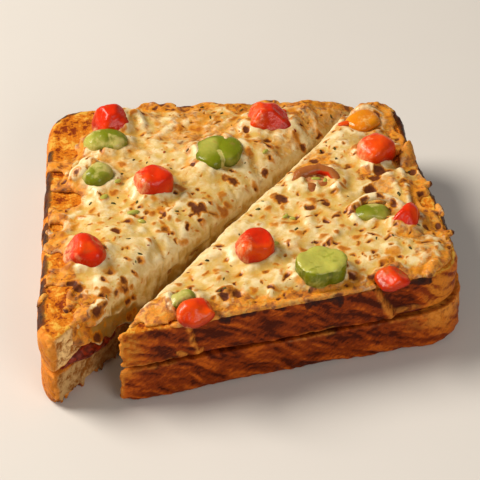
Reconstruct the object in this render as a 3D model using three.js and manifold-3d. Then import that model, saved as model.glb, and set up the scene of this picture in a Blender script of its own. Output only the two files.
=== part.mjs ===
// Chilli cheese toast: two slices of toasted sandwich bread with chilli sauce between them, melted
// cheese on top, and tomato and green pepper pieces sunk into the cheese. It is cut from corner to
// corner, and the two halves lie slightly apart, turned away from each other.
// Millimetres, +Z up. The toast lies on the plane z = 0, with the origin under its middle.
import * as THREE from "three";
import { mergeVertices } from "three/addons/utils/BufferGeometryUtils.js";
import Module from "manifold-3d";

const wasm = await Module();
wasm.setup();

// ---------- driving dimensions ----------
const clearance = 0.3; // air between pieces that touch in the real toast
const slice = { thickness: 13.2, edgeWidth: 1.8, edgeHeight: 3.2 }; // the edge is the crust's rounding
const sauce = { thickness: 1.1, fromCrust: 2.6 };
const cheese = { thickness: 2.9, cell: 7.6, rimThickness: 0.9, rimWidth: 11, bareMargin: 3.4, wave: 1.2 };
const curtain = { stations: 22, rows: 2, thinnest: 0.6, nextToTip: 9, nextToFarEnd: 7 };
const middle = { x: -3.903, y: -14.919 }; // the toast's middle in the frame where the halves are placed

const sauceZ = slice.thickness + clearance;
const upperZ = sauceZ + sauce.thickness + clearance;
const cheeseZ = upperZ + slice.thickness + clearance;

// Each half is drawn with its square corner at (0, 0): one crust side along X and one along Y.
// The corners are those of the whole slice, which the cut then divides. Each corner's rounding
// starts that radius away from it, in the order square, alongX, opposite, alongY. Proud is how far
// the cheese stands out from the cut face.
const halves = {
  left: {
    place: { x: -58.3, y: 42.5, turn: -4.2 },
    corners: { square: [0, 0], alongX: [112, 0], opposite: [108, -115.5], alongY: [-4.6, -115] },
    radii: [14.6, 14, 14, 15],
    cut: { tip: [1.1, -111.5], farEnd: [104.9, 0] },
    proud: { atTip: 2.4, atFarEnd: 1.0 },
    rimWave: 0.4,
  },
  right: {
    place: { x: 63.1, y: -57, turn: 7 },
    corners: { square: [0, 0], alongX: [-116.3, 0], opposite: [-112.4, 95], alongY: [4.2, 92.5] },
    radii: [15.2, 9.4, 14, 14],
    cut: { tip: [-111, 0], farEnd: [-2.7, 91.8] },
    proud: { atTip: 0.4, atFarEnd: 1.0 },
    rimWave: 2.1,
  },
};

// Pieces on the cheese: middle in the frame where the halves are placed, size along their own axes,
// turn in degrees, sink into the cheese.
const cubes = [
  { name: "tomato_back_left", at: [-37.2, 27.8], size: [16, 8.5, 8.4], turn: 8, sink: 3.0 },
  { name: "tomato_centre_left", at: [-28.6, -6.5], size: [11.5, 10, 8.6], turn: 10, sink: 2.8 },
  { name: "tomato_back_edge", at: [13.0, 22.4], size: [16, 10, 7.6], turn: -12, sink: 2.8 },
  { name: "tomato_left_edge", at: [-53.2, -35.4], size: [12.8, 9.5, 8.2], turn: -20, sink: 2.8 },
  { name: "tomato_right_back", at: [43.8, -0.4], size: [11, 9.5, 8.2], turn: 35, sink: 2.8 },
  { name: "tomato_cut_edge", at: [22.5, -10.1], size: [16.5, 9, 5.4], turn: -4, sink: 2.6 },
  { name: "tomato_right_edge", at: [47.1, -32.8], size: [8, 10.5, 6.4], turn: -28, sink: 2.8 },
  { name: "tomato_centre_right", at: [-1.7, -41.3], size: [12, 10, 8.4], turn: 22, sink: 2.8 },
  { name: "tomato_tip", at: [-22.8, -67.0], size: [11, 7.6, 6.2], turn: 12, sink: 2.6 },
  { name: "tomato_front_corner", at: [38.0, -59.0], size: [10, 7.5, 4.6], turn: 15, sink: 2.8 },
];
const cubeShape = { power: 0.62, detail: 2, wobble: 0.07 };
const strips = [
  { name: "pepper_back_left", at: [-41.4, 17.2], size: [15, 8.4, 6.8], turn: -4, arch: 1.6, sink: 2.4 },
  { name: "pepper_left", at: [-45.7, 0.8], size: [10.6, 10, 6.8], turn: -38, arch: 1.4, sink: 2.6 },
  { name: "pepper_hollow", at: [37.4, -29.0], size: [12, 7, 4.8], turn: -6, arch: 0.8, sink: 2.8 },
  { name: "pepper_cut_edge", at: [-26.4, -60.0], size: [10.5, 5.2, 4.6], turn: 24, arch: 1.0, sink: 2.4 },
  { name: "pepper_yellow", at: [43.5, 17.9], size: [11.5, 9.5, 3.8], turn: 30, arch: 0.7, sink: 2.4 },
];
const stripShape = { power: 0.75, detail: 2, wobble: 0.04 };
const crossSlices = [
  {
    name: "pepper_ring", at: [-5.9, 7.4], turn: 20, height: 6.8, sink: 2.2,
    outerRadius: 8.2, innerRadius: 3.6, gap: { middle: -75, width: 74 },
    lobes: { count: 3, depth: 0.03 }, squeeze: 0.92,
  },
  {
    name: "pepper_slice", at: [17.0, -53.0], turn: -4, height: 6.6, sink: 2.2,
    outerRadius: 8.0, innerRadius: 0, gap: null,
    lobes: { count: 3, depth: 0.05 }, squeeze: 0.8,
  },
];

// ---------- materials ----------
const paint = (color, roughness) => new THREE.MeshStandardMaterial({ color, roughness, metalness: 0 });
const materials = {
  bread: paint(0xc17a35, 0.8),
  sauce: paint(0x8e2412, 0.45),
  cheese: paint(0xe9cd84, 0.4),
  tomato: paint(0xd03a1c, 0.3),
  pepper: paint(0x86a63a, 0.35),
  yellowPepper: paint(0xe39a1c, 0.35),
};

// ---------- solids ----------
const vec = ([x, y]) => new THREE.Vector2(x, y);

// A closed three.js geometry as a solid that can be joined and cut.
function solidOf(geometry) {
  const bare = geometry.index ? geometry.toNonIndexed() : geometry.clone();
  for (const name of Object.keys(bare.attributes)) {
    if (name !== "position") bare.deleteAttribute(name);
  }
  const merged = mergeVertices(bare, 1e-3);
  return new wasm.Manifold(
    new wasm.Mesh({
      numProp: 3,
      vertProperties: merged.attributes.position.array,
      triVerts: new Uint32Array(merged.index.array),
    }),
  );
}

function meshOf(name, solid, material) {
  const largest = solid.decompose().sort((a, b) => b.volume() - a.volume())[0];
  const { numProp, numVert, vertProperties, triVerts } = largest.getMesh();
  const positions = new Float32Array(numVert * 3);
  for (let i = 0; i < numVert; i++) {
    positions.set(vertProperties.subarray(i * numProp, i * numProp + 3), i * 3);
  }
  const geometry = new THREE.BufferGeometry()
    .setAttribute("position", new THREE.BufferAttribute(positions, 3))
    .setIndex(new THREE.BufferAttribute(new Uint32Array(triVerts), 1));
  geometry.computeVertexNormals();
  const mesh = new THREE.Mesh(geometry, material);
  mesh.name = name;
  return mesh;
}

// Moves every point of a geometry by a function of the point.
function reshape(geometry, move) {
  const positions = geometry.attributes.position;
  const point = new THREE.Vector3();
  for (let i = 0; i < positions.count; i++) {
    point.fromBufferAttribute(positions, i);
    move(point);
    positions.setXYZ(i, point.x, point.y, point.z);
  }
  return geometry;
}

// ---------- bread outline ----------
// A closed outline through the corners, each one rounded by a curve that starts a radius away.
function roundedOutline(corners, radii) {
  const outline = new THREE.Shape();
  corners.forEach((corner, i) => {
    const before = corners.at(i - 1);
    const after = corners[(i + 1) % corners.length];
    const start = corner.clone().add(before.clone().sub(corner).setLength(radii[i]));
    const end = corner.clone().add(after.clone().sub(corner).setLength(radii[i]));
    if (i === 0) outline.moveTo(start.x, start.y);
    else outline.lineTo(start.x, start.y);
    outline.quadraticCurveTo(corner.x, corner.y, end.x, end.y);
  });
  outline.closePath();
  return outline;
}

const cornersOf = ({ corners }) =>
  [corners.square, corners.alongX, corners.opposite, corners.alongY].map(vec);

// A frame on the cut line: along runs from the tip to the far end, out points off the half.
function cutFrame({ cut, corners }) {
  const tip = vec(cut.tip);
  const along = vec(cut.farEnd).sub(tip);
  const length = along.length();
  along.normalize();
  const out = new THREE.Vector2(along.y, -along.x);
  if (out.dot(vec(corners.square).sub(tip)) > 0) out.negate();
  return { tip, along, out, length };
}

// A tall block over all that lies off the half, starting this far outside each end of the cut.
function beyondCut(half, outsideTip, outsideFarEnd) {
  const { tip, along, out, length } = cutFrame(half);
  const reach = 300;
  const start = tip.clone().addScaledVector(out, outsideTip);
  const end = tip.clone().addScaledVector(along, length).addScaledVector(out, outsideFarEnd);
  const line = end.clone().sub(start).setLength(reach);
  start.sub(line);
  end.add(line);
  const [farEnd, farStart] = [end, start].map((corner) => corner.clone().addScaledVector(out, reach));
  const points = [start, end, farEnd, farStart];
  const block = new THREE.ExtrudeGeometry(new THREE.Shape(points), { depth: reach, bevelEnabled: false });
  return solidOf(block.translate(0, 0, -reach / 2));
}

// ---------- slices and sauce ----------
function breadSlice(half, z) {
  const body = new THREE.ExtrudeGeometry(roundedOutline(cornersOf(half), half.radii), {
    depth: slice.thickness - 2 * slice.edgeHeight,
    bevelThickness: slice.edgeHeight,
    bevelSize: slice.edgeWidth,
    bevelOffset: -slice.edgeWidth,
    bevelSegments: 4,
    curveSegments: 8,
  }).translate(0, 0, z + slice.edgeHeight);
  return solidOf(body).subtract(beyondCut(half, 0, 0));
}

function sauceLayer(half) {
  const corners = cornersOf(half);
  const centre = corners.reduce((sum, c) => sum.add(c), new THREE.Vector2()).divideScalar(corners.length);
  const margin = sauce.fromCrust * Math.SQRT2;
  const inset = corners.map((c) => c.clone().add(centre.clone().sub(c).setLength(margin)));
  const layer = new THREE.ExtrudeGeometry(roundedOutline(inset, half.radii), {
    depth: sauce.thickness,
    bevelEnabled: false,
    curveSegments: 8,
  }).translate(0, 0, sauceZ);
  return solidOf(layer).subtract(beyondCut(half, 0, 0));
}

// ---------- cheese ----------
// Height of the melted surface above its underside: mounds and dips, thin towards the crust.
function cheeseHeight(x, y, rimDistance) {
  const mounds =
    0.75 * Math.sin(x * 0.19 + 0.8 * Math.sin(y * 0.13)) * Math.cos(y * 0.22 + 0.6 * Math.sin(x * 0.11)) +
    0.4 * Math.sin(x * 0.47 - y * 0.31) * Math.cos(x * 0.17 + y * 0.43);
  const share = THREE.MathUtils.smoothstep(rimDistance, 0, cheese.rimWidth);
  return cheese.rimThickness + share * (cheese.thickness - cheese.rimThickness + mounds);
}

// Distance from the nearer of the half's two crust sides.
function distanceFromCrust(half, point) {
  const { square, alongX, alongY } = half.corners;
  const distances = [alongX, alongY].map((end) => {
    const side = vec(end).sub(vec(square)).normalize();
    const offset = point.clone().sub(vec(square));
    return Math.abs(side.cross(offset));
  });
  return Math.min(...distances);
}

// The cheese's edge: the bread's outline pulled in by a margin that comes and goes.
function cheeseOutline(half) {
  const samples = roundedOutline(cornersOf(half), half.radii).getSpacedPoints(64).slice(0, -1);
  const points = samples.map((point, i) => {
    const before = samples.at(i - 1);
    const after = samples[(i + 1) % samples.length];
    const inwards = new THREE.Vector2(before.y - after.y, after.x - before.x).normalize();
    const centre = vec(half.corners.opposite).multiplyScalar(0.5);
    if (inwards.dot(centre.sub(point)) < 0) inwards.negate();
    const wave = Math.sin(i * 1.1 + half.rimWave) + 0.7 * Math.sin(i * 2.3 + 2 * half.rimWave);
    return point.clone().addScaledVector(inwards, cheese.bareMargin + cheese.wave * wave);
  });
  return new THREE.Shape(points);
}

function cheeseSheet(half) {
  const corners = cornersOf(half);
  const box = new THREE.Box2().setFromPoints(corners);
  const size = box.getSize(new THREE.Vector2());
  const centre = box.getCenter(new THREE.Vector2());
  const cells = [Math.round(size.x / cheese.cell), Math.round(size.y / cheese.cell)];
  const block = new THREE.BoxGeometry(size.x, size.y, 1, cells[0], cells[1], 1);
  block.translate(centre.x, centre.y, 0.5);
  const melted = reshape(block, (p) => {
    const rim = distanceFromCrust(half, new THREE.Vector2(p.x, p.y));
    p.z = cheeseZ + (p.z > 0.5 ? cheeseHeight(p.x, p.y, rim) : 0);
  });
  const footprint = new THREE.ExtrudeGeometry(cheeseOutline(half), { depth: 60, bevelEnabled: false });
  const past = beyondCut(half, half.proud.atTip, half.proud.atFarEnd);
  return solidOf(melted).intersect(solidOf(footprint)).subtract(past);
}

// How far down the cut face the cheese has run, as a height above the ground, along the cut.
function curtainFoot(u, length) {
  const runs = 1.6 * Math.sin(u * 0.33) + 1.1 * Math.sin(u * 0.71 + 1.3) + 0.7 * Math.sin(u * 1.37);
  const ends = Math.min(u - curtain.nextToTip, length - curtain.nextToFarEnd - u);
  const fade = 1 - THREE.MathUtils.smoothstep(ends, 0, 9);
  return upperZ - 0.5 + runs + fade * 9;
}

// The cheese that hangs down the cut face, from the sheet's edge to an uneven foot.
function cheeseCurtain(half) {
  const { tip, along, out, length } = cutFrame(half);
  const run = length - curtain.nextToTip - curtain.nextToFarEnd;
  const top = cheeseZ + cheese.rimThickness / 2;
  const sheet = new THREE.BoxGeometry(run, 1, 1, curtain.stations, 1, curtain.rows);
  const mirrored = along.cross(out) < 0;
  const hung = reshape(sheet, (p) => {
    const u = (mirrored ? -p.x : p.x) + run / 2 + curtain.nextToTip;
    const down = 0.5 - p.z; // 0 at the top, 1 at the foot
    const folds = 1 - 0.4 * down + 0.18 * Math.sin(u * 0.9 + 3 * down) * down;
    const outside = THREE.MathUtils.lerp(half.proud.atTip, half.proud.atFarEnd, u / length) * folds;
    const across = p.y > 0 ? Math.max(outside, clearance + curtain.thinnest) : clearance;
    const at = tip.clone().addScaledVector(along, u).addScaledVector(out, across);
    p.set(at.x, at.y, THREE.MathUtils.lerp(top, curtainFoot(u, length), down));
  });
  return solidOf(hung);
}

// ---------- tomato and pepper pieces ----------
// A ball pulled towards a box: power 1 is an ellipsoid, and less is squarer.
function lump({ size, turn, arch = 0 }, { power, detail, wobble }, seed, grow) {
  const ball = new THREE.IcosahedronGeometry(1, detail);
  const square = (v) => Math.sign(v) * Math.abs(v) ** power;
  return reshape(ball, (p) => {
    const unevenness = 1 + wobble * Math.sin(4 * p.x + seed) * Math.cos(3 * p.y + 2 * seed + 2 * p.z);
    const spread = square(p.x);
    p.set(
      spread * (0.5 * size[0] * unevenness + grow),
      square(p.y) * (0.5 * size[1] * unevenness + grow),
      square(p.z) * (0.5 * size[2] * unevenness + grow) - arch * spread * spread,
    );
  }).rotateZ(THREE.MathUtils.degToRad(turn));
}

// A slice across a pepper: a lobed disc, or a ring with a gap in it.
function crossSlice({ outerRadius, innerRadius, height, turn, gap, lobes, squeeze }, grow) {
  const start = gap ? gap.middle + gap.width / 2 : 0;
  const sweep = THREE.MathUtils.degToRad(gap ? 360 - gap.width : 360);
  const steps = 16;
  const at = (radius, i) => {
    const angle = THREE.MathUtils.degToRad(start) + (sweep * i) / steps;
    const r = radius * (1 + lobes.depth * Math.cos(lobes.count * angle));
    return new THREE.Vector2(r * Math.cos(angle), r * Math.sin(angle) * squeeze);
  };
  const count = gap ? steps + 1 : steps;
  const points = Array.from({ length: count }, (_, i) => at(outerRadius, i));
  if (gap) points.push(...Array.from({ length: count }, (_, i) => at(innerRadius, steps - i)));
  const edge = 0.8;
  return new THREE.ExtrudeGeometry(new THREE.Shape(points), {
    depth: height - 2 * edge,
    bevelThickness: edge + grow,
    bevelSize: edge + grow,
    bevelOffset: -edge,
    bevelSegments: 2,
  })
    .translate(0, 0, edge - height / 2)
    .rotateZ(THREE.MathUtils.degToRad(turn));
}

const turnOf = (half) => THREE.MathUtils.degToRad(half.place.turn);

// A point of the frame where the halves are placed, in one half's own frame.
function pointIn(half, at) {
  const place = new THREE.Vector2(half.place.x, half.place.y);
  return vec(at).sub(place).rotateAround(new THREE.Vector2(), -turnOf(half));
}

// Which half a point lies on: the left one, unless it is past the left one's cut.
function sideUnder(at) {
  const { tip, out } = cutFrame(halves.left);
  return pointIn(halves.left, at).sub(tip).dot(out) < 0 ? "left" : "right";
}

// A topping in its half's frame, with a slightly larger copy that cuts its socket in the cheese.
function topping(spec, shapeAt, material) {
  const side = sideUnder(spec.at);
  const half = halves[side];
  const at = pointIn(half, spec.at);
  const [geometry, grown] = [shapeAt(0), shapeAt(clearance)];
  geometry.computeBoundingBox();
  const lowest = cheeseZ + cheese.thickness - spec.sink;
  const rise = lowest - geometry.boundingBox.min.z;
  for (const g of [geometry, grown]) g.rotateZ(-turnOf(half)).translate(at.x, at.y, rise);
  return { side, mesh: meshOf(spec.name, solidOf(geometry), material), socket: solidOf(grown) };
}

// ---------- the toast ----------
const toppings = [
  ...cubes.map((spec, i) => {
    return topping(spec, (grow) => lump(spec, cubeShape, i, grow), materials.tomato);
  }),
  ...strips.map((spec, i) => {
    const material = spec.name === "pepper_yellow" ? materials.yellowPepper : materials.pepper;
    return topping(spec, (grow) => lump(spec, stripShape, i + 20, grow), material);
  }),
  ...crossSlices.map((spec) => topping(spec, (grow) => crossSlice(spec, grow), materials.pepper)),
];

const toast = new THREE.Group();
toast.position.set(-middle.x, -middle.y, 0);
for (const [side, half] of Object.entries(halves)) {
  const group = new THREE.Group();
  group.position.set(half.place.x, half.place.y, 0);
  group.rotation.z = turnOf(half);
  const own = toppings.filter((t) => t.side === side);
  const poured = cheeseSheet(half).add(cheeseCurtain(half));
  const melted = own.reduce((rest, t) => rest.subtract(t.socket), poured);
  group.add(
    meshOf(`${side}_lower_slice`, breadSlice(half, 0), materials.bread),
    meshOf(`${side}_sauce`, sauceLayer(half), materials.sauce),
    meshOf(`${side}_upper_slice`, breadSlice(half, upperZ), materials.bread),
    meshOf(`${side}_cheese`, melted, materials.cheese),
    ...own.map((t) => t.mesh),
  );
  toast.add(group);
}

export default toast;
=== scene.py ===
import math
import bmesh
import bpy
import numpy as np
from mathutils import Matrix, Vector
from mathutils.bvhtree import BVHTree


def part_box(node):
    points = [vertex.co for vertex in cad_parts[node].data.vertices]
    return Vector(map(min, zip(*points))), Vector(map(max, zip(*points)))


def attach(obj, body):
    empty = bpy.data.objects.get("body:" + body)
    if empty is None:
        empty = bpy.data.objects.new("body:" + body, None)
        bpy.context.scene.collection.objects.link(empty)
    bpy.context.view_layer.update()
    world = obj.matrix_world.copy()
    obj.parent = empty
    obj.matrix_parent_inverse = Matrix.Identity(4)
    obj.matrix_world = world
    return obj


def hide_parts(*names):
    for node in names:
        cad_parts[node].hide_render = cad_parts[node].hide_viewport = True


# Chilli cheese toast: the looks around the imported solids.
# Points are handled in millimetres in arrays and written to the meshes in metres.
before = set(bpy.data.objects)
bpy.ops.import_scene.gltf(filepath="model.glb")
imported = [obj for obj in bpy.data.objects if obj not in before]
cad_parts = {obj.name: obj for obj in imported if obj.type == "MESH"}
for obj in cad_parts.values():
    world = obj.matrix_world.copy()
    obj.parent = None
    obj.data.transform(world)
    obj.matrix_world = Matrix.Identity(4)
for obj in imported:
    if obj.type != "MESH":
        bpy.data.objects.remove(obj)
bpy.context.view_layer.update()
scene = bpy.context.scene
mm = 0.001

# The two halves as the solids place them. Each is drawn from its square corner at (0, 0).
middle = np.array((-3.903, -14.919))
breadTop = 28.1
halves = {
    "left": {
        "place": (-58.3, 42.5),
        "turn": -4.2,
        "corners": ((0, 0), (112, 0), (108, -115.5), (-4.6, -115)),
        "radii": (14.6, 14, 14, 15),
        "cut": ((1.1, -111.5), (104.9, 0)),
        "sign": 1,
    },
    "right": {
        "place": (63.1, -57),
        "turn": 7,
        "corners": ((0, 0), (-116.3, 0), (-112.4, 95), (4.2, 92.5)),
        "radii": (15.2, 9.4, 14, 14),
        "cut": ((-111, 0), (-2.7, 91.8)),
        "sign": -1,
    },
}


def smoothStep(low, high, value):
    part = np.clip((value - low) / (high - low), 0, 1)
    return part * part * (3 - 2 * part)


# The same step downwards, from 1 at low to 0 at high.
def fadeStep(low, high, value):
    return 1 - smoothStep(low, high, value)


# Columns side by side with zeros added, so that they make points in space.
def inSpace(*columns):
    points = np.column_stack(columns)
    return np.column_stack((points, np.zeros((len(points), 3 - points.shape[1]))))


# Large odd numbers that scramble a lattice cell and a seed into one steady value from 0 to 1.
scramble = {"cell": (374761393, 668265263, 1440662683), "seed": 974711, "mix": 1274126177}
wordMask, valueMask = 0xFFFFFFFF, 0xFFFFFF


def latticeValue(cell, seed):
    x, y, z = (cell[:, i].astype(np.int64) * scramble["cell"][i] for i in range(3))
    mixed = (x + y + z + seed * scramble["seed"]) & wordMask
    mixed = ((mixed ^ (mixed >> 13)) * scramble["mix"]) & wordMask
    return ((mixed ^ (mixed >> 16)) & valueMask) / valueMask


# Soft noise from -1 to 1 with bumps of the given size.
def softNoise(points, size, seed=0):
    scaled = points / size
    base = np.floor(scaled)
    part = scaled - base
    part = part * part * (3 - 2 * part)
    total = np.zeros(len(points))
    for corner in range(8):
        step = np.array((corner & 1, corner >> 1 & 1, corner >> 2 & 1))
        weight = np.prod(np.where(step, part, 1 - part), axis=1)
        total += weight * latticeValue(base + step, seed)
    return total * 2 - 1


# Soft noise with finer and weaker layers added, brought back to about -1 to 1.
def roughNoise(points, size, seed=0, octaves=3, gain=0.5):
    total = np.zeros(len(points))
    for octave in range(octaves):
        total += softNoise(points, size / 2 ** octave, seed + octave * 17) * gain ** octave
    return total / (2 - 2 * gain ** octaves) * 1.2


# Distance to the nearest of one random centre per cell, and that centre's own random value.
def cellPattern(points, size, seed=0):
    scaled = points / size
    base = np.floor(scaled)
    best = np.full(len(points), 9.0)
    value = np.zeros(len(points))
    for corner in range(27):
        cell = base + np.array((corner % 3 - 1, corner // 3 % 3 - 1, corner // 9 - 1))
        centre = cell + np.stack([latticeValue(cell, seed + k) for k in (1, 2, 3)], axis=1)
        distance = np.linalg.norm(scaled - centre, axis=1)
        nearer = distance < best
        best = np.where(nearer, distance, best)
        value = np.where(nearer, latticeValue(cell, seed + 4), value)
    return best * size, value


# Part coordinates to a half's own, and back.
def toLocal(side, points):
    half = halves[side]
    turn = math.radians(half["turn"])
    moved = points[:, :2] - (np.array(half["place"]) - middle)
    x = moved[:, 0] * math.cos(turn) + moved[:, 1] * math.sin(turn)
    y = -moved[:, 0] * math.sin(turn) + moved[:, 1] * math.cos(turn)
    return np.stack((x, y), axis=1)


def toPart(side, flat):
    half = halves[side]
    turn = math.radians(half["turn"])
    x = flat[:, 0] * math.cos(turn) - flat[:, 1] * math.sin(turn)
    y = flat[:, 0] * math.sin(turn) + flat[:, 1] * math.cos(turn)
    return np.stack((x, y), axis=1) + (np.array(half["place"]) - middle)


# The crust's outline with its rounded corners.
def outlineOf(side, steps=8):
    corners = np.array(halves[side]["corners"], float)
    line = []
    for i, radius in enumerate(halves[side]["radii"]):
        corner = corners[i]
        before = corners[i - 1] - corner
        after = corners[(i + 1) % 4] - corner
        start = corner + before / np.linalg.norm(before) * radius
        end = corner + after / np.linalg.norm(after) * radius
        for t in np.linspace(0, 1, steps + 1):
            line.append((1 - t) ** 2 * start + 2 * t * (1 - t) * corner + t * t * end)
    return np.array(line)


def distanceToLine(flat, a, b):
    run = b - a
    part = np.clip((flat - a) @ run / (run @ run), 0, 1)
    away = flat - (a + part[:, None] * run)
    return np.linalg.norm(away, axis=1), part


# How far a point lies inside the crust's outline, the way out through the crust, and how far round.
def crustField(side, flat):
    line = outlineOf(side)
    centre = line.mean(axis=0)
    nearest = np.full(len(flat), 1e9)
    outward = np.zeros_like(flat)
    along = np.zeros(len(flat))
    inside = np.ones(len(flat), bool)
    walked = 0.0
    for a, b in zip(line, np.roll(line, -1, axis=0)):
        run = b - a
        length = np.linalg.norm(run)
        if length < 1e-6:
            continue
        distance, part = distanceToLine(flat, a, b)
        normal = np.array((run[1], -run[0])) / length
        if normal @ (centre - a) > 0:
            normal = -normal
        inside &= (flat - a) @ normal < 1e-6
        closer = distance < nearest
        nearest = np.where(closer, distance, nearest)
        along = np.where(closer, walked + part * length, along)
        outward[closer] = normal
        walked += length
    return np.where(inside, nearest, -nearest), outward, along


# The cut's tip, the way along it and the way into the bread.
def cutFrame(side):
    tip, farEnd = (np.array(end, float) for end in halves[side]["cut"])
    run = (farEnd - tip) / np.linalg.norm(farEnd - tip)
    inward = np.array((-run[1], run[0]))
    return tip, run, -inward if inward @ tip > 0 else inward


# How far a point lies behind the cut, and how far along it from the tip.
def cutField(side, flat):
    tip, run, inward = cutFrame(side)
    return (flat - tip) @ inward, (flat - tip) @ run


def newObject(name, mesh):
    piece = bpy.data.objects.new(name, mesh)
    scene.collection.objects.link(piece)
    return piece


def fromBmesh(name, bm):
    mesh = bpy.data.meshes.new(name)
    bm.to_mesh(mesh)
    bm.free()
    return newObject(name, mesh)


def copyOfNode(node, name):
    bm = bmesh.new()
    bm.from_mesh(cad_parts[node].data)
    bmesh.ops.remove_doubles(bm, verts=bm.verts, dist=1e-6)
    return fromBmesh(name, bm)


# Swaps an object's mesh for the same mesh with its modifiers applied.
def applyModifiers(piece):
    graph = bpy.context.evaluated_depsgraph_get()
    mesh = bpy.data.meshes.new_from_object(piece.evaluated_get(graph))
    old = piece.data
    piece.modifiers.clear()
    piece.data = mesh
    bpy.data.meshes.remove(old)


def remesh(piece, voxel, smooth=0, factor=0.5):
    modifier = piece.modifiers.new("remesh", "REMESH")
    modifier.mode = "VOXEL"
    modifier.voxel_size = voxel * mm
    if smooth:
        relax = piece.modifiers.new("relax", "SMOOTH")
        relax.factor = factor
        relax.iterations = smooth
    applyModifiers(piece)


def readVertices(piece, kind):
    flat = np.empty(len(piece.data.vertices) * 3, np.float32)
    piece.data.vertices.foreach_get(kind, flat)
    return flat.reshape(-1, 3).astype(float)


def readPoints(piece):
    return readVertices(piece, "co") / mm


def readNormals(piece):
    return readVertices(piece, "normal")


def writePoints(piece, points):
    piece.data.vertices.foreach_set("co", (points * mm).astype(np.float32).ravel())
    piece.data.update()


# How far each point stands out of its own smoothed surroundings, in millimetres.
def standOut(piece, rounds):
    points = readPoints(piece)
    count = len(points)
    ends = np.empty(len(piece.data.edges) * 2, np.int32)
    piece.data.edges.foreach_get("vertices", ends)
    a, b = ends.reshape(-1, 2).T
    shared = (np.bincount(a, minlength=count) + np.bincount(b, minlength=count))[:, None]
    smooth = points
    for _ in range(rounds):
        sums = [np.bincount(a, smooth[b, i], count) + np.bincount(b, smooth[a, i], count) for i in range(3)]
        smooth = 0.5 * smooth + 0.5 * np.stack(sums, axis=1) / shared
    return ((points - smooth) * readNormals(piece)).sum(axis=1)


def paint(piece, name, values):
    layer = piece.data.attributes.new(name, "FLOAT", "POINT")
    layer.data.foreach_set("value", np.clip(values, 0, 1).astype(np.float32))


def finishPiece(piece, material, slotName, *nodes):
    piece.data.materials.clear()
    piece.data.materials.append(material)
    piece.data.polygons.foreach_set("use_smooth", [True] * len(piece.data.polygons))
    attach(piece, "root")
    if nodes:
        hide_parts(*nodes)


def addBall(bm, centre, radii, turn=0, tilt=0, detail=2):
    matrix = (
        Matrix.Translation(Vector(centre) * mm)
        @ Matrix.Rotation(math.radians(turn), 4, "Z")
        @ Matrix.Rotation(math.radians(tilt), 4, "Y")
        @ Matrix.Diagonal((radii[0] * mm, radii[1] * mm, radii[2] * mm, 1))
    )
    bmesh.ops.create_icosphere(bm, subdivisions=detail, radius=1, matrix=matrix)


# A tapered round bar with ball ends between two points.
def addDrop(bm, start, end, startRadius, endRadius):
    start, end = Vector(start), Vector(end)
    run = end - start
    spin = run.to_track_quat("Z", "Y").to_matrix().to_4x4()
    matrix = Matrix.Translation((start + end) / 2 * mm) @ spin
    bmesh.ops.create_cone(
        bm,
        cap_ends=True,
        segments=12,
        radius1=startRadius * mm,
        radius2=endRadius * mm,
        depth=run.length * mm,
        matrix=matrix,
    )
    addBall(bm, start, (startRadius,) * 3)
    addBall(bm, end, (endRadius,) * 3)


def put(tree, kind, inputs=None, **settings):
    node = tree.nodes.new(kind)
    for name, value in settings.items():
        setattr(node, name, value)
    for name, value in (inputs or {}).items():
        value = getattr(value, "socket", value)
        if isinstance(value, bpy.types.NodeSocket):
            tree.links.new(value, node.inputs[name])
        else:
            node.inputs[name].default_value = value
    return node


# A number that changes over the surface: arithmetic with it adds math nodes.
class Value:
    def __init__(self, tree, socket):
        self.tree = tree
        self.socket = socket

    def joined(self, operation, a, b):
        node = put(self.tree, "ShaderNodeMath", {0: a, 1: b}, operation=operation)
        return Value(self.tree, node.outputs[0])

    def __add__(self, other):
        return self.joined("ADD", self, other)

    def __sub__(self, other):
        return self.joined("SUBTRACT", self, other)

    def __rsub__(self, other):
        return self.joined("SUBTRACT", other, self)

    def __mul__(self, other):
        return self.joined("MULTIPLY", self, other)

    def orMore(self, other):
        return self.joined("MAXIMUM", self, other)

    # Maps low..high to 0..1 with soft ends.
    def between(self, low, high):
        inputs = {"Value": self, "From Min": low, "From Max": high}
        node = put(self.tree, "ShaderNodeMapRange", inputs, interpolation_type="SMOOTHSTEP")
        return Value(self.tree, node.outputs["Result"])


def attributes(tree, *names):
    nodes = [put(tree, "ShaderNodeAttribute", attribute_name=name) for name in names]
    return [Value(tree, node.outputs["Fac"]) for node in nodes]


def blend(tree, factor, a, b):
    a = (*a, 1) if isinstance(a, tuple) else a
    b = (*b, 1) if isinstance(b, tuple) else b
    return put(tree, "ShaderNodeMix", {0: factor, 6: a, 7: b}, data_type="RGBA").outputs[2]


# A base colour with further colours laid over it, each through its own mask.
def layered(tree, base, *layers):
    for mask, colour in layers:
        base = blend(tree, mask, base, colour)
    return base


# Object coordinates in millimetres, stretched if wanted.
def objectPoint(tree, stretch=(1, 1, 1)):
    coords = put(tree, "ShaderNodeTexCoord").outputs["Object"]
    scale = tuple(part / mm for part in stretch)
    return put(tree, "ShaderNodeMapping", {"Vector": coords, "Scale": scale}).outputs["Vector"]


# Object coordinates turned first and then drawn out, in millimetres divided by the stretch.
def turnedPoint(tree, rotation, stretch):
    coords = put(tree, "ShaderNodeTexCoord").outputs["Object"]
    inputs = {"Vector": coords, "Rotation": rotation, "Scale": tuple(mm * part for part in stretch)}
    return put(tree, "ShaderNodeMapping", inputs, vector_type="TEXTURE").outputs["Vector"]


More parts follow.
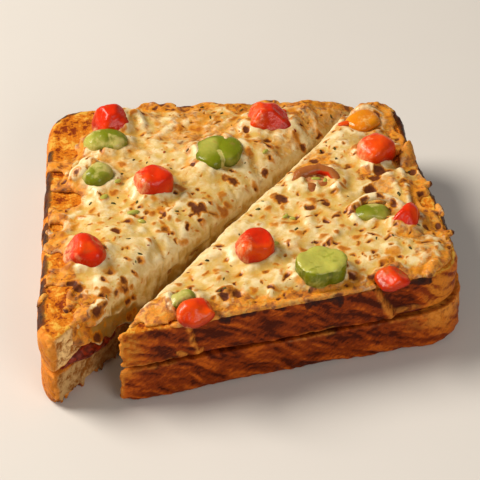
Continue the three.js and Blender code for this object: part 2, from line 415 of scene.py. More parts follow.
# The grain that every material takes with its own size, fineness and wander.
def makeGrainGroup():
    group = bpy.data.node_groups.new("grain", "ShaderNodeTree")
    group.interface.new_socket("Vector", in_out="INPUT", socket_type="NodeSocketVector")
    numbers = ("Scale", "Detail", "Roughness", "Distortion")
    for name in numbers:
        group.interface.new_socket(name, in_out="INPUT", socket_type="NodeSocketFloat")
    group.interface.new_socket("Level", in_out="OUTPUT", socket_type="NodeSocketFloat")
    source = put(group, "NodeGroupInput").outputs
    noise = put(group, "ShaderNodeTexNoise", {name: source[name] for name in ("Vector", *numbers)})
    put(group, "NodeGroupOutput", {"Level": noise.outputs["Fac"]})
    return group


grainGroup = makeGrainGroup()


def grain(tree, point, size, detail=3.0, roughness=0.55, distortion=0.0):
    inputs = {"Vector": point, "Scale": 1 / size, "Detail": detail, "Roughness": roughness}
    inputs["Distortion"] = distortion
    return Value(tree, put(tree, "ShaderNodeGroup", inputs, node_tree=grainGroup).outputs["Level"])


def newMaterial(name, **constants):
    material = bpy.data.materials.new(name)
    material.use_nodes = True
    shader = material.node_tree.nodes["Principled BSDF"]
    for key, value in constants.items():
        shader.inputs[key.replace("_", " ")].default_value = value
    return material, material.node_tree, shader


def connect(tree, shader, **values):
    for key, value in values.items():
        tree.links.new(getattr(value, "socket", value), shader.inputs[key.replace("_", " ")])


def bumpFrom(tree, height, strength, distance):
    inputs = {"Height": height, "Strength": strength, "Distance": distance * mm}
    return put(tree, "ShaderNodeBump", inputs).outputs["Normal"]


# The photograph's view and a plain studio.
view = {
    "target": (3.9, 14.9, 0),
    "azimuth": -8.3,
    "elevation": 41,
    "distance": 723.1,
    "lens": 165,
}
studio = {
    "key": {"at": (-700, 260, 740), "size": 560, "power": 15.6, "colour": (1, 0.93, 0.84)},
    "fill": {"at": (160, -480, 330), "size": 320, "power": 1.1, "colour": (1, 0.96, 0.92)},
    "world": (1.0, 0.95, 0.88),
    "worldStrength": 0.2,
    "floorTint": (0.64, 0.61, 0.57),
}


def makeCamera():
    data = bpy.data.cameras.new("camera")
    data.lens = view["lens"]
    data.sensor_width = 36
    data.clip_start = 0.01
    camera = bpy.data.objects.new("camera", data)
    scene.collection.objects.link(camera)
    azimuth, elevation = math.radians(view["azimuth"]), math.radians(view["elevation"])
    level = math.cos(elevation)
    back = Vector((math.sin(azimuth) * level, -math.cos(azimuth) * level, math.sin(elevation)))
    camera.location = (Vector(view["target"]) + back * view["distance"]) * mm
    camera.rotation_euler = back.to_track_quat("Z", "Y").to_euler()
    scene.camera = camera


def makeLamp(name, at, size, power, colour):
    data = bpy.data.lights.new(name, "AREA")
    data.shape = "DISK"
    data.size = size * mm
    data.energy = power
    data.color = colour
    lamp = bpy.data.objects.new(name, data)
    scene.collection.objects.link(lamp)
    lamp.location = Vector(at) * mm
    aim = Vector(at) - Vector((0, 0, 20))
    lamp.rotation_euler = aim.to_track_quat("Z", "Y").to_euler()


def makeStudio():
    world = bpy.data.worlds.new("studio")
    scene.world = world
    world.use_nodes = True
    backdrop = world.node_tree.nodes["Background"]
    backdrop.inputs["Color"].default_value = (*studio["world"], 1)
    backdrop.inputs["Strength"].default_value = studio["worldStrength"]
    for name in ("key", "fill"):
        makeLamp(name, **studio[name])
    bm = bmesh.new()
    bmesh.ops.create_grid(bm, x_segments=2, y_segments=2, size=2.5)
    floor = fromBmesh("floor", bm)
    material, tree, shader = newMaterial("floorPlain", Roughness=0.85)
    tint = studio["floorTint"]
    darker = tuple(part * 0.97 for part in tint)
    connect(tree, shader, Base_Color=blend(tree, grain(tree, objectPoint(tree), 40), tint, darker))
    floor.data.materials.append(material)
    scene.view_settings.view_transform = "Standard"


makeCamera()
makeStudio()
print("camera, light and floor set")

bread = {
    "voxel": 0.6,
    "crumb": (0.94, 0.61, 0.25),
    "crumbShade": (0.34, 0.11, 0.014),
    "soakedAndShaded": (0.20, 0.065, 0.008),
    "tan": (0.56, 0.105, 0.006),
    "goldenCrust": (0.66, 0.205, 0.016),
    "brown": (0.25, 0.034, 0.002),
    "darkBrown": (0.070, 0.008, 0.0008),
    "bareDark": (0.22, 0.030, 0.002),
    "bareLight": (0.60, 0.17, 0.006),
    "bareYellow": (0.74, 0.40, 0.055),
    "char": (0.020, 0.007, 0.006),
    "pale": (0.76, 0.27, 0.035),
    "poreSize": 2.3,
    "poreDepth": 0.8,
    "teethDepth": 2.9,
    "frayDepth": 1.2,
    "seamShift": {"lower": 0.75, "upper": -0.5},
    # the right half's outer corner: how far each slice moves out there, and how far the seam rises
    "cornerShift": {"lower": 1.1, "upper": -0.7},
    "cornerLift": 2.3,
    "streakSize": 1.7,
    "streakLength": 4.5,
    "streakSlope": 0.5,
    "streakDepth": 0.42,
    "lump": 0.55,
    "crustWidth": 1.9,
    "bareRim": 1.9,
    "cutRound": {"left": 11.0, "right": 5.0},
    "cutDrop": {"left": 7.0, "right": 2.4},
}
# Folds in the front crust of the right half: points along the crust and height, width of the light strip,
# how light it is, how far the dark side reaches and how deep it lies.
# The light strip is partly paler crust in the crack and partly a painted highlight on its raised edge; the
# dark side is painted shade beside the step.
splits = (
    {"line": ((-89, 28), (-87.6, 20.2), (-84, 12.6)), "width": 1.2, "light": 0.95, "dark": 9, "deep": 1},
    {"line": ((-92, 17), (-88.5, 14.5), (-84, 12.6)), "width": 0.8, "light": 0.8, "dark": 0.1, "deep": 0},
    {"line": ((-30.4, 28), (-27.4, 20.7), (-22.6, 12)), "width": 1.4, "light": 0.75, "dark": 10, "deep": 2},
)
# Places where cheese leaves the bread bare: middle and radius from the half's square corner.
barePatches = {
    "left": (
        (6, -8.5, 12.5), (4.6, -24.5, 5), (4.6, -48.5, 4.6), (2.6, -62, 2.4), (2, -76.5, 3.4),
        (3.2, -94.5, 6.6), (8, -106, 7.6), (1.6, -35.5, 3), (0.8, -101.5, 5.6),
    ),
    "right": ((-105, 2.4, 3.6), (-2.5, 56, 3.4), (-1.6, 34, 3.4), (2.4, 72, 3.2)),
}
# Where cheese reaches out over the rim: two ends and a radius.
cheeseFingers = {
    "left": (
        (9, -29, 1.5, -31.5, 2.4), (9, -38, 3, -40, 1.8), (9, -56, 1.8, -56.5, 2),
        (9, -68, 0.4, -70.5, 2.6), (9, -82, 1.2, -85, 2.4), (12, -88, 5, -99, 1.6),
        (30, -5, 34, -0.6, 2.6),
    ),
    "right": ((-79, 4, -80.5, 0.6, 1.6), (-26, 5, -26.6, 0.4, 1.5), (-60, 4, -62, 0.9, 1.8)),
}
# Burnt places: middle, radius and how dark.
charSpots = {
    "left": (
        (0.6, -25.5, 3.2, 1), (4.5, -3.8, 1.8, 0.6), (11, -0.8, 2.4, 0.5), (12.5, -9.5, 1.3, 0.9),
        (6.6, -15.5, 1.1, 0.6), (3.6, -6.6, 1.2, 0.6), (12.6, -95.6, 2.6, 0.9), (14.6, -98.6, 2, 0.9),
        (5.4, -90.5, 1.8, 0.8), (2.2, -86, 1.4, 0.7), (4.2, -100.6, 1.6, 0.6), (9.2, -89, 1.6, 0.8),
    ),
    "right": ((4.2, 76, 4, 1), (2.9, 57, 3.4, 0.9), (0.8, 15.5, 1.8, 0.9), (-0.2, 6.8, 1.3, 0.8)),
}
# Burnt stretches of rim: the two ends, half width and how dark.
burntBands = {
    "left": (
        ((3, -5), (12, -0.6), 1.1, 0.6), ((36, -0.4), (104, 0), 1.2, 0.8),
        ((-0.6, -34), (-1.4, -41), 1.9, 0.95), ((-1, -45), (-1.6, -52), 2, 1),
        ((-1.5, -61), (-2.2, -68), 2.1, 1), ((-2, -75), (-2.6, -80), 1.9, 1),
        ((-2.6, -86), (-3, -90), 2, 1), ((-3, -95), (-3.8, -102), 2.1, 1),
    ),
    "right": (
        ((-79, -0.2), (-68, -0.2), 1.2, 0.9), ((-66, -0.2), (-54, -0.2), 1, 0.6),
        ((-52, -0.2), (-42, -0.2), 1.3, 1), ((-40, -0.2), (-31, -0.2), 1, 0.7),
        ((-24.5, 0), (-14, 0.4), 1.4, 0.95), ((-108, 0.2), (-90, 0), 0.8, 0.2), ((4, 80), (3, 62), 2, 1),
        ((2.6, 58), (1.9, 46), 1.8, 0.9), ((1.8, 42), (0.9, 30), 1.5, 0.8),
        ((0.8, 26), (0.6, 14), 1.2, 0.8), ((0.2, 9), (-1.6, 4.6), 1, 0.6),
    ),
}


# Strength of ragged round spots, each with its middle, radius and weight.
def spotsAt(flat, spots, ragged=0.55):
    total = np.zeros(len(flat))
    flat3 = inSpace(flat)
    rough = ragged * (roughNoise(flat3, 1.8, 59) + 0.6 * roughNoise(flat3, 4.5, 60))
    for x, y, radius, weight in spots:
        away = np.linalg.norm(flat - np.array((x, y)), axis=1) / radius + rough
        total = np.maximum(total, weight * fadeStep(0.35, 1.15, away))
    return total


# How burnt the bread is, from its spots and its stretches of rim.
def burntAt(side, flat):
    flat3 = inSpace(flat)
    rough = 0.85 + 0.6 * roughNoise(flat3, 6.5, 57) + 0.3 * roughNoise(flat3, 2.4, 58)
    total = spotsAt(flat, charSpots[side])
    for start, end, width, weight in burntBands[side]:
        away, _ = distanceToLine(flat, np.array(start, float), np.array(end, float))
        band = fadeStep(0.4 * width, 2.2 * width, away)
        total = np.maximum(total, weight * band * np.clip(rough, 0, 1.2))
    return total


# Positive where cheese covers the bread, growing inwards from its ragged border.
def cheeseCover(side, flat):
    inset = crustField(side, flat)[0]
    flat3 = inSpace(flat)
    margin = bread["bareRim"] + 1.3 * roughNoise(flat3, 7.5, 41) + 0.5 * roughNoise(flat3, 2.2, 47)
    cover = inset - margin
    for x, y, radius in barePatches[side]:
        away = np.linalg.norm(flat - np.array((x, y)), axis=1)
        wobble = 1.4 * roughNoise(flat3, 4.5, 53)
        cover = np.minimum(cover, away - radius + wobble)
    for x0, y0, x1, y1, radius in cheeseFingers[side]:
        away, _ = distanceToLine(flat, np.array((x0, y0)), np.array((x1, y1)))
        cover = np.maximum(cover, np.minimum(radius - away, inset + 0.8))
    return cover


# The upper slice's top falls away in a quarter round towards the cut, but not at its tip.
def breadTopAt(side, depth, fromTip):
    reach = bread["cutRound"][side]
    part = np.clip((reach - depth) / reach, 0, 1)
    drop = bread["cutDrop"][side] * smoothStep(9, 26, fromTip)
    return breadTop - drop * (1 - np.sqrt(1 - part * part))


# Diagonal streaks and wrinkles of the baked crust.
def streakField(along, z, seed):
    lengthwise = (along + bread["streakSlope"] * z) / bread["streakLength"]
    across = z - bread["streakSlope"] * along + 1.6 * softNoise(inSpace(along, z), 9, seed + 40)
    return roughNoise(inSpace(lengthwise, across), bread["streakSize"], seed, 4, 0.6)


def makeBreadMaterial():
    material, tree, shader = newMaterial("toastedBread", Specular_IOR_Level=0.1)
    point = objectPoint(tree)
    crust, char, golden, pale = attributes(tree, "crust", "char", "golden", "pale")
    toneAndLight, soakedAndShaded, streak, valley = attributes(tree, "toneAndLight", "soakedAndShaded", "streak", "valley")
    broad = grain(tree, point, 7, 3, 0.55, 0.4)
    medium = grain(tree, point, 2.2, 4, 0.6, 0.6)
    fine = grain(tree, point, 0.8, 4, 0.65)
    strands = grain(tree, turnedPoint(tree, (0, -0.5, 0), (4.5, 2.5, 1)), 0.9, 3, 0.6, 0.4)
    # the crumb takes its shade colour, painted shade, in its open pores and hollows
    openness = fine * 0.5 + medium * 0.5 - (valley - 0.5) * 0.5 + (broad - 0.5) * 0.6
    crumb = layered(
        tree,
        bread["crumbShade"],
        (openness.between(0.34, 0.64), bread["crumb"]),
        # crumb soaked with sauce, and painted shade on the lower slice and away from the tip
        (soakedAndShaded * 0.8, bread["soakedAndShaded"]),
    )
    # toast that the cheese leaves bare on top, with painted shade in its valleys
    bareLevel = broad * 0.5 + medium * 0.5 - (valley - 0.5) * 0.3 + (fine - 0.5) * 0.35
    bare = layered(
        tree,
        bread["bareDark"],
        (bareLevel.between(0.40, 0.50), bread["bareLight"]),
        (bareLevel.between(0.52, 0.64), bread["bareYellow"]),
    )
    # baked crust: painted shade darkens its valleys; it is lighter along its raised streaks, partly their
    # own colour and partly a painted highlight, and where its tone, with painted light, is high
    level = streak * 0.85 + medium * 0.35 + strands * 0.95 + toneAndLight * 0.9 - (valley - 0.5) * 0.5
    lightest = blend(tree, toneAndLight.between(0.38, 0.68), bread["tan"], bread["goldenCrust"])
    skin = layered(
        tree,
        bread["darkBrown"],
        (level.between(0.82, 1.25), bread["brown"]),
        (level.between(1.25, 1.8), lightest),
        (fine.between(0.42, 0.7) * 0.3, bread["darkBrown"]),
        (golden, bare),
        # pale: paler cracks and frayed crust, with painted highlights on the cracks, the seam, the corner
        # and the left rim
        (pale * medium.between(0.3, 0.62), bread["pale"]),
    )
    singed = (char + (medium - 0.5) * 1.3 + (fine - 0.5) * 0.6) * char.between(0.02, 0.2)
    burnt = singed.between(0.5, 1.2) * 0.9
    colour = layered(
        tree,
        crumb,
        (crust, skin),
        (singed.between(0.1, 0.55) * 0.85, bread["darkBrown"]),
        (burnt, bread["char"]),
    )
    rough = 0.85 - crust * 0.36 - burnt * 0.15
    bump = bumpFrom(tree, fine + medium * 1.5, 0.55, 0.5)
    connect(tree, shader, Base_Color=colour, Roughness=rough, Normal=bump)
    return material


breadMaterial = makeBreadMaterial()


# The offset, dark side (painted shade beside the step) and light strip (paler crust with a painted
# highlight) of the folds in the front crust.
def splitFields(points, flat, edgeNoise):
    rise = np.column_stack((flat[:, 0], points[:, 2]))
    light, shadedSide, push = (np.zeros(len(points)) for _ in range(3))
    for split in splits:
        line = np.array(split["line"])
        reach = np.full(len(points), 99.0)
        offset = np.full(len(points), 99.0)
        for a, b in zip(line, line[1:]):
            away, part = distanceToLine(rise, a, b)
            shift = rise[:, 0] - (a + part[:, None] * (b - a))[:, 0]
            offset = np.where(away < reach, shift, offset)
            reach = np.minimum(reach, away)
        strip = fadeStep(split["width"] * 0.3, split["width"], reach + 1.8 * edgeNoise)
        beyond = smoothStep(0.0, 1.3, offset) * fadeStep(split["dark"] * 0.4, split["dark"], offset)
        beyond *= smoothStep(10.5, 13.5, points[:, 2])
        before = smoothStep(-6, -0.5, offset) * fadeStep(-0.5, 0.3, offset)
        light = np.maximum(light, strip * split["light"])
        shadedSide = np.maximum(shadedSide, beyond)
        push += 0.5 * before - split["deep"] * beyond
    return light, shadedSide, push


def makeSlice(side, level):
    node = side + "_" + level + "_slice"
    isUpper, isRight = level == "upper", side == "right"
    piece = copyOfNode(node, side + "_" + level + "_bread")
    remesh(piece, bread["voxel"], 1)
    points, normals = readPoints(piece), readNormals(piece)
    z = points[:, 2]
    low, high = z.min(), z.max()
    flat = toLocal(side, points)
    inset, outwardLocal, along = crustField(side, flat)
    outward = inSpace(toPart(side, outwardLocal) - toPart(side, np.zeros_like(outwardLocal)))
    depth, fromTip = cutField(side, flat)
    seamAway = np.abs(z - (low if isUpper else high))
    # masks: the side of the crust, the cut, the crust at the seam, the front crust and the corner
    sideMask = fadeStep(0.4, 2.6, inset)
    cutMask = fadeStep(0.3, 1.2, depth) * smoothStep(0.2, 0.8, inset)
    nearSeam = fadeStep(0.5, 3.4, seamAway) * sideMask
    frontMask = sideMask * fadeStep(0.4, 3.0, np.abs(flat[:, 1])) * isRight
    corner = isRight * fadeStep(7, 25, np.linalg.norm(flat - np.array((0, 4)), axis=1))
    fray = fadeStep(0.3, 2.0, depth) * fadeStep(1.0, 3.0, inset)
    edgeNoise = 0.5 * roughNoise(points, 2.0, 29)
    moved = points.copy()
    # the seam between the slices is tight: its rounded edges are filled out again
    moved += outward * (nearSeam * np.clip(inset, 0, 1.6) * 0.85)[:, None]
    ripple = 0.35 * softNoise(points * (1, 1, 0), 11, 5)
    moved[:, 2] += fadeStep(0, 1.6, seamAway) * sideMask * (bread["seamShift"][level] + ripple)
    # wrinkles, streaks and lumps on the crust, and an uneven toasted top
    streak = streakField(along, z, 8 if isUpper else 7)
    wrinkle = bread["streakDepth"] * streak + 0.18 * roughNoise(points, 2.4, 10)
    lump = bread["lump"] * softNoise(points, 12, 9)
    moved += normals * ((wrinkle + lump - 0.25) * sideMask * (1 - cutMask))[:, None]
    toasted = 0.3 * roughNoise(points, 3.4, 17) + 0.3 * softNoise(points, 7, 18)
    moved += normals * (toasted * (1 - sideMask) * (1 - cutMask) * (normals[:, 2] > 0.7))[:, None]
    # open crumb on the cut
    bent = points + 1.2 * np.stack([roughNoise(points, 3.2, 14 + i) for i in range(3)], axis=1)
    poreAway, poreSize = cellPattern(bent, bread["poreSize"], 11)
    pore = fadeStep(0.1, 0.95 * poreSize + 0.1, poreAway) * poreSize
    crumbRough = 0.5 * roughNoise(points, 2.2, 13) + 0.5 * softNoise(points, 6, 12)
    moved -= normals * (cutMask * (bread["poreDepth"] * pore - crumbRough))[:, None]
    # crumbly teeth where the knife left the lower edge, and frayed crust beside the cut
    if not isUpper:
        edge = fadeStep(0.2, 3.6, z) * fadeStep(0.2, 3.2, depth)
        teeth = edge * smoothStep(0.5, 1.3, cellPattern(points * (1, 1, 0.4), 2.6, 19)[0])
        moved[:, 2] += bread["teethDepth"] * teeth
    frayed = fray * bread["frayDepth"] * softNoise(points * (0.4, 0.4, 1), 1.5, 23)
    moved += normals * frayed[:, None]
    # the lower slice stands proud round the corner and the upper one draws back
    moved += outward * (corner * sideMask * bread["cornerShift"][level])[:, None]
    moved[:, 2] += corner * sideMask * fadeStep(0, 4.5, seamAway) * bread["cornerLift"]
    light, shadedSide, push = splitFields(points, flat, edgeNoise)
    moved += normals * (push * frontMask * isUpper)[:, None]
    if isUpper:
        share = (breadTopAt(side, depth, fromTip) - low) / (breadTop - low)
        moved[:, 2] = low + (moved[:, 2] - low) * share
    moved[:, 2] = np.maximum(moved[:, 2], 0)
    writePoints(piece, moved)

    crust = fadeStep(bread["crustWidth"] * 0.5, bread["crustWidth"] * 1.2, inset + edgeNoise)
    faceAway = np.minimum(z - low, high - z)
    paint(piece, "crust", np.maximum(crust, fadeStep(0.4, 1.1, faceAway + 0.5 * edgeNoise)))
    # burnt rim: the darker the place, the further down the side it reaches
    rim = smoothStep(-0.7, 0.7, z - high + 4.6 * burntAt(side, flat) - 1.2 + 2.6 * edgeNoise)
    paint(piece, "char", rim * fadeStep(1.0, 3.8, inset) * isUpper)
    # darker crumb on the cut: sauce soaked into it, most of all in the left half, together with painted
    # shade; the lower slice's cut and the cut away from the tip take painted shade
    soakedAndShaded = cutMask * smoothStep(9, 20, fromTip + 3 * edgeNoise) * (not isRight)
    soakedAndShaded = np.maximum(soakedAndShaded, 0.6 * cutMask * (not isUpper))
    paint(piece, "soakedAndShaded", np.maximum(soakedAndShaded, 0.4 * cutMask * smoothStep(6, 12, fromTip)))
    tipLight = fadeStep(2, 11, fromTip + 2 * edgeNoise)
    topBare = smoothStep(0.4, 0.9, normals[:, 2]) * isUpper * smoothStep(0.4, 1.6, inset)
    paint(piece, "golden", np.maximum(topBare, 0.35 * tipLight * isUpper))
    # streaks for the crust's colour and painted highlight, and valleys for painted shade in the hollows
    paint(piece, "streak", 0.5 + 0.62 * streak)
    paint(piece, "valley", np.clip(0.5 - 1.2 * standOut(piece, 14), 0, 1))
    # the crust's own tone varies at random; over it lies painted light and shade: crust facing left and
    # back, the key lamp's way, is lighter and crust facing away darker, with painted shade beside the front
    # folds and where the upper slice meets the lower one. It is also lighter round the corner and towards
    # the tip; the front crust is the darkest.
    toneAndLight = 0.28 + 0.38 * (outward @ np.array((-0.8, 0.35, 0)))
    toneAndLight += (0.42 + 0.2 * isUpper) * corner - 0.5 * shadedSide * frontMask + 0.03 * (not isUpper)
    toneAndLight += 0.3 * tipLight + 0.25 * roughNoise(points, 14, 37) - 0.12 * nearSeam * isUpper
    paint(piece, "toneAndLight", toneAndLight)
    # pale: cracks of the front crust, partly paler crust and partly a painted highlight; a painted
    # highlight along parts of the seam and round the corner on the lower slice, where its edge stands out;
    # a painted light strip on the left rim; and the frayed crust
    seamHighlight = fadeStep(0.3, 1.1, seamAway) * sideMask
    seamHighlight = seamHighlight * smoothStep(0.2, 0.6, roughNoise(points * (1, 1, 0), 9, 39) + 0.3) * 0.7
    if not isUpper:
        seamHighlight = np.maximum(seamHighlight, corner * fadeStep(1.5, 6.5, seamAway + 2.5 * edgeNoise))
    leftRimLight = (not isRight) * smoothStep(high - 5, high - 1.5, z) * sideMask * isUpper * 0.6
    frayed = fray * fadeStep(0.4, 1.5, depth + edgeNoise)
    paint(piece, "pale", np.maximum.reduce((light * frontMask * isUpper, seamHighlight, leftRimLight, frayed)))
    finishPiece(piece, breadMaterial, "bread", node)


for side in halves:
    for level in ("lower", "upper"):
        makeSlice(side, level)
print("bread slices made")


cheese = {
    "voxel": 0.48,
    "smooth": 5,
    "cell": 0.8,
    "thickness": 2.5,
    "overhang": 1.2,
    "roll": {"left": 13.0, "right": 6.0},
    "rollDrop": {"left": 8.0, "right": 3.2},
    "shreds": 230,
    "shredHeight": 0.65,
    "foldHeight": {"left": 0.9, "right": 0.5},
    "foldReach": {"left": 17, "right": 8},
    "creaseDepth": 0.6,
    "climb": (1.7, 1.2),
    "climbReach": 3.6,
    # how far the sheet sinks into the bread, and the curtain's top, lowest point and depth
    "sunk": 0.25,
    "curtainRise": 0.6,
    "curtainLowest": 9,
    "curtainBack": 1.2,
    "flecks": 235,
    "fleckGap": 2.2,
    "pale": (0.82, 0.68, 0.39),
    "yellow": (0.60, 0.38, 0.085),
    "golden": (0.60, 0.22, 0.006),
    "amber": (0.34, 0.075, 0.002),
    "orange": (0.76, 0.25, 0.008),
    # painted shade for the lower part of the hanging curtain
    "curtainShade": (0.30, 0.15, 0.016),
    "brown": (0.080, 0.011, 0.001),
    "burnt": (0.020, 0.005, 0.002),
}
# Toasted places: middle, radius and how brown, from the half's square corner.
toastedSpots = {
    "left": (
        (46.8, -56.1, 2.6, 1), (44.5, -54.5, 1.6, 0.8), (58.7, -42.1, 2, 0.8), (56.5, -41, 1.4, 0.6),
        (47.3, -46.8, 1, 0.9), (71.4, -24, 1.5, 0.9), (64.5, -19.8, 1.3, 0.9), (83.2, -22.8, 1.7, 0.8),
        (69.4, -36.8, 1.2, 0.8), (71.7, -39.5, 1.3, 0.8), (7.9, -89.3, 2.7, 0.9),
        (12.2, -97.2, 1.8, 0.8), (20.8, -66.7, 1.6, 0.9), (23.8, -89.1, 1.9, 0.9),
        (25.4, -87.4, 1.8, 0.8), (22.7, -86.3, 1.4, 0.8), (17, -99, 3, 0.8), (30.7, -58.3, 1, 0.6),
        (38, -1.6, 1.5, 0.8), (47, -1.2, 1.5, 0.9), (56, -1.8, 1.4, 0.8), (66, -1, 1.6, 0.9),
        (74, -1.8, 1.4, 0.8), (82, -1, 1.5, 0.9), (91, -1.6, 1.5, 0.8), (61.5, -4.5, 1.2, 0.7),
        (41.5, -5.5, 1.2, 0.7), (36, -65, 1.6, 0.7), (14.5, -101.5, 2.4, 0.9),
    ),
    "right": (
        (-46.9, 45.2, 2.4, 1), (-32.2, 61.4, 1.6, 0.9), (-40.1, 38.3, 1.7, 0.8), (-34.3, 39.3, 1.3, 0.9),
        (-71.8, 29.8, 1.4, 0.8), (-71.7, 23, 1.2, 0.6), (-68.7, 15.6, 1.3, 1), (-72.2, 7.2, 1.8, 0.9),
        (-74, 8.8, 1.6, 0.6), (-61.4, 14.5, 1.2, 0.6), (-79.7, 7, 1.3, 0.7), (-18.7, 42.6, 2.4, 0.9),
        (-30.9, 3.8, 1.8, 0.9), (-32.9, 11.5, 1.6, 0.6), (-36.5, 13.4, 1.3, 0.6),
        (-48.6, 47.2, 1.6, 0.5), (-13.4, 49.9, 2.4, 1), (-15.8, 47.5, 2, 0.9), (-4.7, 56.6, 1.8, 0.9),
        (-23, 34.8, 1.6, 0.8), (-18.2, 34.6, 1.6, 0.9), (-14.5, 32.6, 1.5, 0.9), (-27, 33, 1.4, 0.7),
        (-5.5, 66, 1.8, 0.9), (-6, 72, 2, 1), (-4.6, 79, 2, 0.9), (-7, 61, 1.5, 0.8), (-4, 38, 1.6, 0.9),
        (-5, 30, 1.4, 0.8), (-3.5, 22, 1.5, 0.9), (-3, 49, 1.6, 0.9), (-3, 12, 1.4, 0.8),
        (-7.5, 44, 1.3, 0.7),
    ),
}
# Low pieces that the cheese leaves open: middle in part millimetres, radius and depth.
cheeseDents = (
    (47.3, 32.9, 7.5, 1.3), (41.4, -14.2, 6.4, 1.3), (-22.4, -45.2, 5.0, 0.8), (26.5, 4.4, 7.0, 0.8),
)
# Larger golden-orange patches.
orangePatches = {
    "left": (
        (11, -103, 9, 1), (4, -96, 7, 1), (3, -84, 6, 1), (2, -68, 5, 1), (2, -56, 5, 0.9),
        (3, -40, 5, 0.9), (4, -30, 6, 0.9), (-3, -93, 5, 1), (16, -96, 6, 0.9), (50, -14, 26, 0.66),
        (92, -12, 22, 0.7), (22, -28, 16, 0.5), (76, -24, 14, 0.6), (40, -40, 12, 0.4), (40, -3, 8, 1),
        (62, -3, 8, 1), (88, -3, 9, 1), (20, -5, 9, 0.8), (98, -2, 7, 1), (75, -2, 7, 1), (51, -2, 6, 1),
        (64, -33, 4, 0.4), (20, -82, 3, 0.4), (46, -52, 4, 0.5),
    ),
    "right": (
        (-4, 78, 26, 0.66), (-12, 30, 16, 0.4), (-32, 60, 12, 0.75), (-98, 6, 7, 1), (-24, 3, 8, 1),
        (-8, 5, 10, 1), (-10, 14, 7, 0.7), (-40, 1, 4.5, 1.2), (-48, 1, 4.5, 1.2), (-57, 1, 4.5, 1.2),
        (-74, 1, 4.5, 1.2), (-43, 7.5, 4, 0.9), (-52, 7, 3, 0.7), (-4, 24, 7, 1), (-4, 40, 7, 1),
        (0, 60, 8, 0.9), (0, 80, 8, 0.7), (-14, 45, 6, 0.7), (-70, 6, 4, 0.6), (-20, 30, 4, 0.5),
        (-12, 20, 7, 0.8), (-66, 1, 4.5, 1.2), (-30, 58, 4, 0.5), (-47, 44, 4, 0.6),
        (-19, 50.5, 3.6, 0.9), (-2, 57, 6, 1.1), (-82, 5, 5, 0.7),
    ),
}
# Strings, drips and curls of cheese: points along each, from the half's square corner with the
# height, and the radius at its start and end.
cheeseStrings = {
    "left": (
        (((9, -88, 28.6), (6, -92, 28.4), (5.6, -96, 28)), 1.1, 0.9),
        (((-1.4, -91.5, 27.6), (-2.6, -92.8, 27.2), (-3.2, -94.4, 26.4)), 1.2, 0.9),
    ),
    "right": (
        (((-10, 30, 29.6), (-8, 40, 29.8), (-6.6, 50, 29.6)), 1.5, 1.6),
        (((-28.9, 32.8, 30.2), (-26.2, 35.4, 32), (-22.1, 36.8, 33), (-18.2, 36.6, 33)), 1.4, 1.3),
        (((-18.2, 36.6, 33), (-14.9, 34.8, 32.4), (-12.1, 32.4, 31)), 1.3, 1.4),
        (((-13.4, 1.8, 29.2), (-11.2, 4.4, 29.6), (-9.4, 6.4, 29.2)), 1.6, 1.7),
        (((-78, 1.4, 28.3), (-66, 1.7, 28.4), (-60, 1.4, 28.3)), 1, 1.2),
        (((-60, 1.4, 28.3), (-47, 1.2, 28.5), (-38, 1.4, 28.3), (-31, 1.6, 28.3)), 1.2, 1),
        (((-4.6, 52.6, 29.2), (-4, 57, 32.4)), 1.1, 0.8), (((-3.4, 52.8, 29.4), (-3, 57.6, 33)), 1, 0.7),
        (((-2.2, 53.2, 29.4), (-1.8, 58.4, 33.6)), 1, 0.7), (((-1, 54, 29), (-0.7, 59.2, 33.6)), 1, 0.7),
        (((0, 56, 28.6), (-0.1, 60.4, 32.4)), 1, 0.8), (((0.4, 58.6, 28.4), (0.2, 61.8, 30.8)), 1, 0.8),
    ),
}
# Flattened lumps: middle with height, radii, turn and tilt.
cheeseLumps = {
    "left": (
        ((9.8, -39.8, 33.2), (3.6, 2.8, 1.6), 20, -25), ((13.2, -36.6, 34.2), (3.4, 2.8, 1.5), 0, 0),
        ((15.5, -19.5, 30.6), (5.5, 2.2, 1.8), 10, 0), ((10.5, -100.5, 28.5), (4.6, 3, 1.7), 46, 0),
        ((14.6, -97.4, 28.4), (4, 2.4, 1.9), 46, 0), ((13.6, -100.4, 26.4), (4, 1.6, 3), 46, 0),
        ((38.5, -2.6, 28.6), (4.6, 2.4, 1.3), 14, 0), ((54.5, -3, 28.5), (5.6, 2.4, 1.2), -12, 0),
        ((72.5, -2.8, 28.5), (5, 2.2, 1.1), 8, 0),
    ),
    "right": (
        ((0.2, 42.6, 28.6), (2, 1.3, 1.1), 0, -14), ((-1.4, 18.4, 28.6), (2.4, 1.4, 1.2), 0, -10),
        ((-11.8, 4, 29.6), (1.8, 4, 1.5), -30, 0), ((0, 30, 28.4), (1.4, 3.4, 1.1), 0, 0),
        ((-91, 1, 28.2), (4, 1.2, 1), 0, 0), ((-84, 0.8, 28), (2.4, 1, 1.2), 0, 0),
    ),
}
toppingNodes = [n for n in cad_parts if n.startswith(("tomato", "pepper"))]


# The half on which a piece of topping lies.
def sideOf(node):
    low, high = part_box(node)
    centre = np.array([(low + high) / 2 / mm])
    depth, _ = cutField("left", toLocal("left", centre))
    return "left" if depth[0] > 0 else "right"


toppingSides = {node: sideOf(node) for node in toppingNodes}


